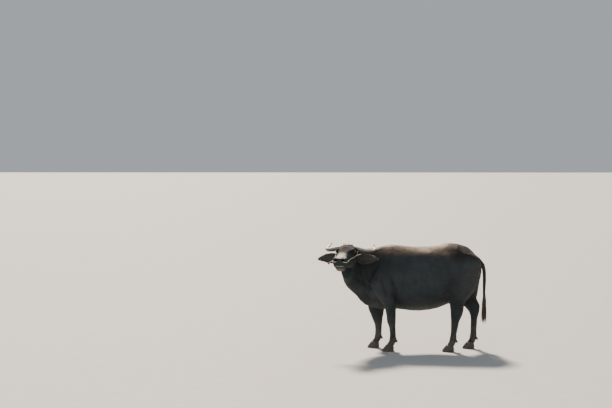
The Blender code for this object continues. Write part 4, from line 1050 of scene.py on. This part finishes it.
def claw_surface(node):
    """One claw: ovals that are long at the flat sole and short at the coronet, with growth rings.

    Each oval reaches toe in front and heel behind, narrows to the toe, and swells at each ring.
    """
    low, high = (np.array(corner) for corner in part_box(node))
    toe_share, wide = 0.669, (high[1] - low[1]) / 2
    x, y = low[0] + (high[0] - low[0]) * toe_share, (low[1] + high[1]) / 2
    toe_reach, heel_reach = x - low[0], high[0] - x
    level = np.linspace(0, 1, 22)
    rise = level * (high[2] + 0.012)
    toe = np.interp(level, (0, 0.16, 0.55, 1), (0.985, 1.0, 0.76, 0.46)) * toe_reach
    heel = np.interp(level, (0, 0.2, 0.6, 1), (0.96, 1.0, 1.0, 0.80)) * heel_reach
    half = np.interp(level, (0, 0.2, 0.6, 1), (0.96, 1.0, 0.94, 0.78)) * wide
    swell = 1 + 0.010 * np.cos(level * 44) * (level > 0.08)
    angle = np.arange(36) / 36 * 2 * math.pi
    ahead, across = np.cos(angle), np.sin(angle)
    reach = np.where(ahead < 0, toe[:, None], heel[:, None]) * ahead * swell[:, None]
    narrow = half[:, None] * (1 - 0.25 * np.clip(-ahead, 0, 1) ** 2) * across * swell[:, None]
    rings = np.stack([x + reach, y + narrow, rise[:, None] + 0 * angle], -1)
    return skin_of_rings(rings)


def dewclaw_surface(node):
    """A blunt horn behind the fetlock: a tube from the top front to the low back of the node's box."""
    low, high = (np.array(corner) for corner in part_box(node))
    middle = (low + high) / 2
    start = np.array([low[0] + 0.012, middle[1], high[2] - 0.010])
    end = np.array([high[0] - 0.007, middle[1], low[2] + 0.007])
    share = np.linspace(0, 1, 12)[:, None]
    path = start + (end - start) * share + np.array([0.004, 0, 0]) * np.sin(math.pi * share)
    radius = 0.0125 * np.sqrt(np.maximum(1 - share[:, 0] ** 3, 0.06)) * (1 + 0.03 * np.cos(share[:, 0] * 30))
    return tube(path, radius, 18, (0, 1, 0.01))


def claw_material():
    shader = Shader("claw", Specular_IOR_Level=0.5)
    height = shader.axis("Z")
    rings = shader.noise(12.0, shader.stretched((1.0, 1.0, 14.0)), detail=5.0)
    tone = shader.mix(rings.step(0.35, 0.65), settings().horn.claw, (0.085, 0.070, 0.056))
    worn = height.step(0.030, 0.002) * shader.noise(60.0, detail=6.0).step(0.35, 0.6)
    tone = shader.mix(worn * 0.8, tone, settings().hide.dust)
    return shader.set(Base_Color=tone, Roughness=0.50 + 0.2 * rings, Normal=shader.bump(rings, 0.0012, 0.6))


# The nose rope


def rope_course():
    """The closed course of the rope: its guide, drawn onto the middle of the rope in the solids."""
    left = through(ROPE_GUIDE, 10)
    loop = np.vstack([left, (left * (1, -1, 1))[-2:0:-1]])
    loop = moved(TO_WORLD, loop)
    solid = read(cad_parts["nose_rope"].data.vertices, "co", 3)
    for reach in (0.040, 0.018, 0.012):
        gap = np.linalg.norm(loop[:, None] - solid[None], axis=2)
        near = np.exp(-((gap / reach) ** 2)) * (gap < 2.2 * reach)
        weight = near.sum(1)
        mean = (near[..., None] * solid).sum(1) / np.maximum(weight, 1e-9)[:, None]
        loop = np.where(weight[:, None] > 1e-3, mean, loop)
        for _ in range(3):
            loop = loop * 0.5 + (np.roll(loop, 1, 0) + np.roll(loop, -1, 0)) * 0.25
    step = np.linalg.norm(np.roll(loop, -1, 0) - loop, axis=1)
    travelled = np.concatenate([[0], np.cumsum(step)])
    fine = np.arange(0, travelled[-1], 0.0035)
    ring = np.vstack([loop, loop[:1]])
    return np.column_stack([np.interp(fine, travelled, ring[:, i]) for i in range(3)])


def strands(path, radius, count, pitch, closed):
    """Strands that wind round a path: each is a tube whose middle circles it once in a pitch."""
    if closed:
        tangent = unit(np.roll(path, -1, 0) - np.roll(path, 1, 0))
        total = np.linalg.norm(np.roll(path, -1, 0) - path, axis=1).sum()
        turns = round(total / pitch)
        share = np.arange(len(path)) / len(path)
    else:
        tangent = unit(np.gradient(path, axis=0))
        turns = np.linalg.norm(np.diff(path, axis=0), axis=1).sum() / pitch
        share = np.linspace(0, 1, len(path))
    side = unit(np.cross(tangent, (0.13, 0.21, 0.97)))
    up = np.cross(side, tangent)
    made = []
    for i in range(count):
        angle = (share * turns + i / count) * 2 * math.pi
        middle = path + 0.5 * radius * (side * np.cos(angle)[:, None] + up * np.sin(angle)[:, None])
        made.append(tube(middle, radius * 0.53, 8, closed=closed))
    return made


def rope_material():
    rope = settings().rope
    shader = Shader("rope", Specular_IOR_Level=0.25)
    fibres = shader.noise(260.0, detail=4.0)
    soiled = shader.noise(18.0).step(0.42, 0.72) * 0.7
    tone = shader.mix(soiled, rope.fibre, tuple(0.42 * c for c in rope.fibre))
    tone = shader.mix(fibres.step(0.45, 0.7) * 0.35, tone, (0.18, 0.15, 0.10))
    return shader.set(Base_Color=tone, Roughness=0.85, Normal=shader.bump(fibres, 0.0008, 0.8))


def knot_surface():
    """A ball of wound yarn: a sphere with ridges along three crossing windings."""
    low, high = (np.array(corner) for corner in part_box("bead"))
    points, quads, triangles = ball((0, 0, 0), (1, 1, 1), 48)
    windings = unit(np.array([(1, 0.2, 0.1), (0.1, 1, 0.4), (0.3, 0.2, 1)]))
    ridges = np.abs(np.cos(14 * points @ windings.T)).sum(1)
    points = points * (0.92 + 0.028 * ridges[:, None]) * (high - low) / 2
    return points + (low + high) / 2, quads, triangles


def knot_material():
    shader = Shader("knot", Specular_IOR_Level=0.3, Sheen_Weight=0.3)
    yarn = shader.noise(420.0, detail=3.0)
    deep = tuple(0.45 * c for c in settings().rope.knot)
    tone = shader.mix(yarn.step(0.35, 0.65), deep, settings().rope.knot)
    return shader.set(Base_Color=tone, Roughness=0.8, Normal=shader.bump(yarn, 0.0006, 0.8))


# Coat and hair


class Field:
    """Roots for hair: seeded random points on the skin, with the normals there."""

    def __init__(self, mesh, seed):
        mesh.calc_loop_triangles()
        corners = read(mesh.loop_triangles, "vertices", 3)
        self.points = read(mesh.vertices, "co", 3)
        self.normals = read(mesh.vertices, "normal", 3)
        a, b, c = (self.points[corners[:, i]] for i in range(3))
        self.corners = corners
        self.middles = (a + b + c) / 3
        self.areas = np.linalg.norm(np.cross(b - a, c - a), axis=1) / 2
        self.rng = np.random.default_rng(seed)

    def scatter(self, count, density):
        """Count roots, spread over the triangles by their area times the density there."""
        share = np.cumsum(self.areas * density)
        chosen = np.searchsorted(share, self.rng.uniform(0, share[-1], count))
        mix = self.rng.uniform(size=(count, 2))
        mix = np.where(mix.sum(1, keepdims=True) > 1, 1 - mix, mix)
        weights = np.column_stack([1 - mix.sum(1), mix])[..., None]
        corner = self.corners[np.minimum(chosen, len(self.corners) - 1)]
        roots = (self.points[corner] * weights).sum(1)
        return roots, unit((self.normals[corner] * weights).sum(1))


def hair_mesh(roots, rise, lie, length, width, lift, bend, stations, rng, patch):
    """Tufts as three-sided tapering blades, one for each root.

    A blade's middle is root + lie * L s + rise * L (lift s - lift s^2 / 2) + side * L bend s^2, for s
    from 0 to 1, and its half width falls as 1 - s^1.5. The first ring is sunk under the skin.
    """
    count = len(roots)
    side = unit(np.cross(lie, rise))
    s = np.linspace(0, 1, stations)
    sway = rng.uniform(-1, 1, count)
    length = np.broadcast_to(length, count)[:, None, None]
    middle = (
        roots[:, None]
        - rise[:, None] * 0.0015
        + lie[:, None] * length * s[:, None]
        + rise[:, None] * length * (lift[:, None] * (s - s**2 * 0.5))[..., None]
        + side[:, None] * length * bend * sway[:, None, None] * (s**2)[:, None]
    )
    half = (np.broadcast_to(width, count) / 2)[:, None] * (1 - s[:-1] ** 1.5)
    corners = np.array([(-1.0, 0.0), (1.0, 0.0), (0.0, 0.75)])
    body = middle[:, :-1, None] + half[..., None, None] * (
        corners[:, :1] * side[:, None, None] + corners[:, 1:] * rise[:, None, None]
    )
    rings = stations - 1
    per = rings * 3 + 1
    points = np.concatenate([body.reshape(count, -1, 3), middle[:, -1:]], axis=1)
    # No tip leaves the box of the solids
    points = np.clip(points, *np.array(CAD_BOUNDS))
    i, j = np.meshgrid(np.arange(rings - 1), np.arange(3), indexing="ij")
    k = (j + 1) % 3
    quads = np.stack([i * 3 + j, i * 3 + k, i * 3 + 3 + k, i * 3 + 3 + j], -1).reshape(-1, 4)
    top = np.array([[(rings - 1) * 3 + n, (rings - 1) * 3 + (n + 1) % 3, rings * 3] for n in range(3)])
    fans = np.vstack([top, [[2, 1, 0]]])
    base = (np.arange(count) * per)[:, None, None]
    groups = [(base + faces).reshape(-1, faces.shape[1]) for faces in (quads, fans) if len(faces)]
    mesh = make_mesh("tufts", points.reshape(-1, 3), *groups)
    store(mesh, "tone", np.repeat(rng.uniform(0, 1, count) ** 2, per))
    store(mesh, "along", np.tile(np.append(np.repeat(s[:-1], 3), 1.0), count))
    corner = np.concatenate([group.ravel() for group in groups])
    blade, within = corner // per, corner % per
    across = np.where(within == per - 1, 0.5, np.array([0.0, 1.0, 0.5])[within % 3])
    up = np.where(within == per - 1, 1.0, (within // 3) / rings)
    uv = patch[blade] + 0.003 * np.column_stack([across, up])
    layer = mesh.uv_layers.new(name="OFBake")
    layer.data.foreach_set("uv", uv.astype(np.float32).ravel())
    return mesh


def unwrap(points, low, high):
    """Places on an unwrap: the angle round the x-wise middle line across, the length along it up."""
    middle = (low + high) / 2
    turn = np.arctan2(points[:, 1] - middle[1], points[:, 2] - middle[2]) / (2 * math.pi) + 0.5
    along = (points[:, 0] - low[0]) / (high[0] - low[0])
    return np.column_stack([0.02 + 0.94 * turn, 0.01 + 0.97 * np.clip(along, 0, 1)])


def unwrap_legs(points):
    """Four columns, one for each leg: the angle round the leg's own middle across, the height up."""
    middles = np.array([cad_centre(name)[:2] for name in LEGS])
    nearest = np.argmin(np.linalg.norm(points[:, None, :2] - middles[None], axis=2), axis=1)
    offset = points[:, :2] - middles[nearest]
    turn = np.arctan2(offset[:, 1], offset[:, 0]) / (2 * math.pi) + 0.5
    up = 0.01 + 0.97 * np.clip(points[:, 2] / 1.1, 0, 1)
    return np.column_stack([(nearest + 0.04 + 0.90 * turn) / 4, up])


def on_surface(direction, normals):
    """The part of a direction that lies along the surface."""
    return unit(direction - (direction * normals).sum(1)[:, None] * normals)


def body_lie(points, normals):
    """The lie of the coat: backwards and a little down on the trunk, straight down on the legs."""
    leg = smoothstep(-points[:, 2], -0.62, -0.46)[:, None]
    lie = np.array([1.0, 0.0, -0.28]) * (1 - leg) + np.array([0.12, 0.0, -1.0]) * leg
    rump = smoothstep(points[:, 0], 0.66, 0.95)[:, None]
    lie = lie * (1 - rump) + np.array([0.35, 0.0, -1.0]) * rump
    return on_surface(lie, normals)


def head_lie(points, normals):
    """On the head: from the whorl between the eyes down to the muzzle and up to the poll."""
    place = moved(TO_HEAD, points)
    up = smoothstep(-place[:, 0], -0.23, -0.17)[:, None]
    lie = np.array([1.0, 0, -0.15]) * (1 - up) + np.array([-1.0, 0, 0.35]) * up
    lie = lie + np.array([0, 1.0, -0.2]) * (np.sign(place[:, 1]) * 0.25)[:, None]
    return on_surface(lie @ TO_WORLD[:3, :3].T, normals)


def bare_on_head(place):
    """1 where hair grows on the head, 0 on the muzzle, the lips, the eyes and under horns and ears."""
    free = smoothstep(np.linalg.norm(place - (0.520, 0, -0.100), axis=1), 0.075, 0.105)
    for side in SIDES.values():
        eye = np.linalg.norm(place - EYE * (1, side, 1), axis=1)
        free = free * smoothstep(eye, 0.034, 0.040)
    return free


def coat_pieces(skin):
    """Short tufts over the hide, in four pieces: each flank, the legs, and the head and neck."""
    coat = settings().coat
    field = Field(skin, 5)
    place = moved(TO_HEAD, field.middles)
    _, y, z = field.middles.T
    headward = smoothstep(place[:, 0], -0.06, 0.00)
    body = (1 - headward) * (z > 0.60)
    edge = 1 + 1.2 * smoothstep(z, 1.12, 1.22) + 0.8 * smoothstep(-z, -0.70, -0.58)
    made = []
    share = 1.0
    low, high = (np.array(corner) for corner in CAD_BOUNDS)
    ridge = SHIFT[1]
    regions = {
        "coat_left": (coat.body, body * (y < ridge) * edge, body_lie, coat.length),
        "coat_right": (coat.body, body * (y >= ridge) * edge, body_lie, coat.length),
        "coat_legs": (int(coat.body * 0.8), (z <= 0.60) * (z > 0.085) * 1.0, body_lie, coat.length * 0.6),
        "coat_head": (coat.head, headward * bare_on_head(place), head_lie, coat.length * 0.45),
    }
    for name, (count, density, lie, length) in regions.items():
        roots, rise = field.scatter(int(count * share), density)
        number = len(roots)
        grow = field.rng.uniform(0.6, 1.25, number)
        lift = field.rng.uniform(0.10, 0.28, number)
        if name == "coat_legs":
            patch = unwrap_legs(roots)
        elif name == "coat_head":
            patch = unwrap(moved(TO_HEAD, roots), *HEAD_BOX)
        else:
            patch = unwrap(roots, low * (1, 0, 1) + (0, ridge, 0), high * (1, 0, 1) + (0, ridge, 0))
        thick = coat.width * (0.7 if name == "coat_head" else 1.0)
        mesh = hair_mesh(
            roots,
            rise,
            lie(roots, rise),
            length * grow,
            thick * field.rng.uniform(0.7, 1.2, number),
            lift,
            0.18,
            3,
            field.rng,
            patch,
        )
        made.append((name, mesh))
    return made


def switch_hair(rng):
    """Strands round the end of the tail that hang down and gather to a ragged point."""
    count = settings().coat.switch
    low, high = (np.array(corner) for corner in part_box("tail_switch"))
    top = high[2]
    turn = rng.uniform(0, 2 * math.pi, count)
    level = rng.uniform(-0.10, 0.10, count)
    out = np.column_stack([np.cos(turn), np.sin(turn), np.zeros(count)])
    core = np.array([SHIFT[0] + 0.9945, SHIFT[1] - 0.006, 0])
    roots = core + out * 0.011 + np.column_stack([0 * level, 0 * level, top - 0.015 + level])
    length = (roots[:, 2] - low[2]) * rng.uniform(0.62, 1.0, count)
    lie = unit(np.array([0, 0, -1.0]) + out * rng.uniform(0.00, 0.045, count)[:, None])
    rise = unit(out - (out * lie).sum(1)[:, None] * lie)
    lift = rng.uniform(0.03, 0.13, count)
    patch = np.column_stack([0.02 + 0.9 * turn / 6.2832, 0.1 + 0.8 * (level + 0.1) / 0.2])
    return hair_mesh(roots, rise, lie, length, 0.0042, lift, 0.030, 8, rng, patch)


def ear_hair(side, rng):
    """Fringes along both edges of the ear and soft hair in its cup, all leaning to the tip."""
    rings = ear_shape(side)
    stations, sides = rings.shape[:2]
    count = settings().coat.ear_fringe
    row = rng.uniform(0.16, 0.97, count) * (stations - 2)
    edge = rng.uniform(size=count)
    half = sides // 2
    column = np.where(
        edge < 0.36,
        rng.integers(half, half + 3, count),
        np.where(edge < 0.72, rng.integers(sides - 3, sides, count), rng.integers(half, sides, count)),
    )
    i, share = row.astype(int), (row % 1)[:, None]
    roots = rings[i, column] * (1 - share) + rings[i + 1, column] * share
    tipward = unit(rings[i + 1].mean(1) - rings[i].mean(1))
    axis = rings[i].mean(1)
    outward = on_surface(roots - axis, tipward)
    open_side = on_surface(np.broadcast_to(TO_WORLD[:3, 0], roots.shape), tipward)
    fringe = (edge < 0.72)[:, None]
    rise = unit(np.where(fringe, outward * 0.8 + open_side * 0.5, open_side))
    lie = unit(tipward + rise * np.where(fringe, 0.45, 0.25))
    rise = on_surface(rise, lie)
    length = np.where(fringe[:, 0], 0.019, 0.017) * rng.uniform(0.4, 1.2, count)
    patch = np.column_stack([0.02 + 0.9 * column / sides, 0.02 + 0.9 * row / stations])
    return hair_mesh(roots, rise, lie, length, 0.0009, rng.uniform(0.02, 0.22, count), 0.22, 5, rng, patch)


def poll_hair(skin, seed):
    """The tuft between the horns, combed along the skin, and whiskers that hang from the chin."""
    field = Field(skin, seed)
    place = moved(TO_HEAD, field.middles)
    centre = np.array([0.058, 0.0, 0.012])
    tuft = np.exp(-(((place - centre) / (0.030, 0.062, 0.030)) ** 2).sum(1)) * (place[:, 2] > -0.02)
    chin = np.exp(-(((place - (0.440, 0, -0.205)) / (0.040, 0.040, 0.020)) ** 2).sum(1))
    made = []
    for name, density, count, length, push in (
        ("hair_poll", tuft, 900, 0.020, (1.00, 0.0, 0.00)),
        ("hair_chin", chin, 220, 0.014, (0.45, 0.0, -0.7)),
    ):
        roots, rise = field.scatter(count, density)
        spread = field.rng.normal(0, 0.22, (count, 3)) * (1, 1.4, 0.4)
        local = moved(TO_HEAD, roots)
        push = np.array(push) + spread + np.array([0, 1.0, 0]) * (local[:, 1:2] * 7)
        if name == "hair_poll":
            # Parted at the crest, so that no hair climbs over it
            push[:, 0] *= np.where(rise @ (TO_WORLD[:3, 0] * (1, 1, 0)) > 0, 1, -1)
        lie = unit(push @ TO_WORLD[:3, :3].T)
        if name == "hair_poll":
            lie = on_surface(lie, rise)
        across = on_surface(rise, lie)
        grow = length * field.rng.uniform(0.5, 1.15, count)
        patch = unwrap(local, *HEAD_BOX)
        lift = field.rng.uniform(0.00, 0.12, count)
        made.append((name, hair_mesh(roots, across, lie, grow, 0.0013, lift, 0.25, 5, field.rng, patch)))
    return made


# One operator for each group of pieces


class BUFFALO_OT_hide(bpy.types.Operator):
    """Makes the skin that takes the place of all flesh, and the short coat on it"""

    bl_idname = "buffalo.hide"
    bl_label = "Hide and coat"

    def execute(self, context):
        skin = make_skin()
        add_piece("skin", skin, skin_material(), "skin", *FLESH)
        coat, face = coat_material("coat", 1.0), coat_material("coat_face", 0.3)
        for name, mesh in coat_pieces(skin):
            add_piece(name, mesh, face if name == "coat_head" else coat, "hair")
        hair = hair_material("brown_hair", (0.030, 0.019, 0.014), (0.300, 0.180, 0.110))
        for name, mesh in poll_hair(skin, 17):
            add_piece(name, mesh, hair, "hair")
        return {"FINISHED"}


class BUFFALO_OT_eyes(bpy.types.Operator):
    """Makes both eyes and the lids round them"""

    bl_idname = "buffalo.eyes"
    bl_label = "Eyes and lids"

    def execute(self, context):
        wet, lid = eye_material(), lid_material()
        for word, side in SIDES.items():
            add_piece(f"eyeball_{word}", eyeball(side), wet, "eye", f"eye_{word}")
            mesh = turned_out(make_mesh("lids", *lid_surface(side)))
            add_piece(f"lids_{word}", mesh, lid, "skin")
        return {"FINISHED"}


class BUFFALO_OT_horns(bpy.types.Operator):
    """Makes both horns, with their growth rings"""

    bl_idname = "buffalo.horns"
    bl_label = "Horns"

    def execute(self, context):
        finish = horn_material()
        for word, side in SIDES.items():
            add_piece(f"crescent_{word}", horn_piece(side), finish, "horn", f"horn_{word}")
        return {"FINISHED"}


class BUFFALO_OT_ears(bpy.types.Operator):
    """Makes both ears, and the hair on their edges and in their cups"""

    bl_idname = "buffalo.ears"
    bl_label = "Ears"

    def execute(self, context):
        finish = ear_material()
        hair = hair_material("ear_hair", (0.014, 0.011, 0.010), (0.230, 0.145, 0.095))
        rng = np.random.default_rng(23)
        for word in SIDES:
            add_piece(f"ear_cup_{word}", ear_piece(word), finish, "skin", f"ear_{word}")
            add_piece(f"hair_ear_{word}", ear_hair(word, rng), hair, "hair")
        return {"FINISHED"}


class BUFFALO_OT_claws(bpy.types.Operator):
    """Makes the claws and dewclaws of every foot"""

    bl_idname = "buffalo.claws"
    bl_label = "Claws"

    def execute(self, context):
        finish = claw_material()
        for leg in LEGS:
            claws = [f"claw_{leg}_{place}" for place in ("inner", "outer")]
            spurs = [f"dew{claw}" for claw in claws]
            parts = [*map(claw_surface, claws), *map(dewclaw_surface, spurs)]
            mesh = turned_out(make_mesh("foot", *joined(parts)))
            add_piece(f"claws_{leg}", mesh, finish, "claw", *claws, *spurs)
        return {"FINISHED"}


class BUFFALO_OT_tail_hair(bpy.types.Operator):
    """Makes the switch of long hair at the end of the tail"""

    bl_idname = "buffalo.tail_hair"
    bl_label = "Tail switch"

    def execute(self, context):
        hair = hair_material("black_hair", (0.012, 0.010, 0.009), (0.130, 0.080, 0.050))
        add_piece("hair_switch", switch_hair(np.random.default_rng(31)), hair, "hair", "tail_switch")
        return {"FINISHED"}


class BUFFALO_OT_rope(bpy.types.Operator):
    """Makes the worn nose rope and the red knot on its end"""

    bl_idname = "buffalo.rope"
    bl_label = "Nose rope"

    def execute(self, context):
        rope = settings().rope
        course = rope_course()
        parts = strands(course, rope.radius, 3, rope.pitch, True)
        knot = np.array(cad_centre("bead"))
        start = course[np.argmin(np.linalg.norm(course - knot, axis=1))]
        bow = np.array([0, 0, 0.006])
        share = np.linspace(0, 1, 24)[:, None]
        stub = start + (knot - start) * share + bow * np.sin(math.pi * share)
        parts += strands(stub, 0.0042, 2, 0.016, False)
        mesh = turned_out(make_mesh("rope", *joined(parts)))
        add_piece("rope_strands", mesh, rope_material(), "rope", "nose_rope")
        knot_mesh = turned_out(make_mesh("knot", *knot_surface()))
        add_piece("knot", knot_mesh, knot_material(), "bead", "bead")
        return {"FINISHED"}


class BUFFALO_OT_stage(bpy.types.Operator):
    """Makes the floor, the lights and the camera"""

    bl_idname = "buffalo.stage"
    bl_label = "Studio"

    def execute(self, context):
        stage = settings().stage
        scene = context.scene
        reach = 400.0
        corners = np.array([(-reach, -reach, 0), (reach, -reach, 0), (reach, reach, 0), (-reach, reach, 0)])
        floor = bpy.data.objects.new("floor", make_mesh("floor", corners, np.array([[0, 1, 2, 3]])))
        scene.collection.objects.link(floor)
        shader = Shader("floor", Roughness=0.75, Specular_IOR_Level=0.2)
        grain = shader.noise(3.0, detail=6.0)
        tone = shader.mix(grain.step(0.3, 0.7), stage.floor, tuple(0.96 * c for c in stage.floor))
        floor.data.materials.append(shader.set(Base_Color=tone))
        world = bpy.data.worlds.new("studio")
        world.use_nodes = True
        background = world.node_tree.nodes["Background"]
        background.inputs["Color"].default_value = (0.86, 0.93, 1.0, 1)
        background.inputs["Strength"].default_value = stage.fill
        scene.world = world
        for name, energy, softness, tint, direction in (
            ("key", stage.key, 9.0, (1.0, 0.84, 0.68), (0.24, -1.00, -0.88)),
            ("front", stage.key * 0.045, 40.0, (0.86, 0.94, 1.0), (0.35, 1.0, -0.55)),
        ):
            light = bpy.data.lights.new(name, "SUN")
            light.energy = energy
            light.angle = math.radians(softness)
            light.color = tint
            lamp = bpy.data.objects.new(name, light)
            lamp.rotation_euler = Vector(direction).to_track_quat("-Z", "Y").to_euler()
            scene.collection.objects.link(lamp)
        camera = bpy.data.cameras.new("camera")
        camera.lens = stage.lens
        camera.sensor_width = 36
        camera.sensor_fit = "HORIZONTAL"
        camera.clip_end = 1000
        viewer = bpy.data.objects.new("camera", camera)
        viewer.location = stage.camera
        viewer.rotation_euler = (math.pi / 2 - stage.pitch, 0, stage.yaw)
        scene.collection.objects.link(viewer)
        scene.camera = viewer
        return {"FINISHED"}


OPERATORS = (
    BUFFALO_OT_stage,
    BUFFALO_OT_hide,
    BUFFALO_OT_eyes,
    BUFFALO_OT_horns,
    BUFFALO_OT_ears,
    BUFFALO_OT_claws,
    BUFFALO_OT_tail_hair,
    BUFFALO_OT_rope,
)
GROUPS = (HideSettings, HornSettings, CoatSettings, RopeSettings, StageSettings, BuffaloSettings)


class BUFFALO_PT_panel(bpy.types.Panel):
    """Lists the steps and their settings"""

    bl_label = "Water buffalo"
    bl_space_type = "VIEW_3D"
    bl_region_type = "UI"
    bl_category = "Buffalo"

    def draw(self, context):
        for operator in OPERATORS:
            self.layout.operator(operator.bl_idname)
        for group in ("hide", "horn", "coat", "rope", "stage"):
            box = self.layout.box()
            box.label(text=group.capitalize())
            values = getattr(context.scene.buffalo, group)
            for name in values.bl_rna.properties.keys():
                if name not in ("rna_type", "name"):
                    box.prop(values, name)


def register():
    for each in (*GROUPS, *OPERATORS, BUFFALO_PT_panel):
        bpy.utils.register_class(each)
    bpy.types.Scene.buffalo = PointerProperty(type=BuffaloSettings)


def unregister():
    del bpy.types.Scene.buffalo
    for each in reversed((*GROUPS, *OPERATORS, BUFFALO_PT_panel)):
        bpy.utils.unregister_class(each)


def main():
    register()
    for operator in OPERATORS:
        name = operator.bl_idname.split(".")[1]
        getattr(bpy.ops.buffalo, name)()


if __name__ == "__main__":
    main()
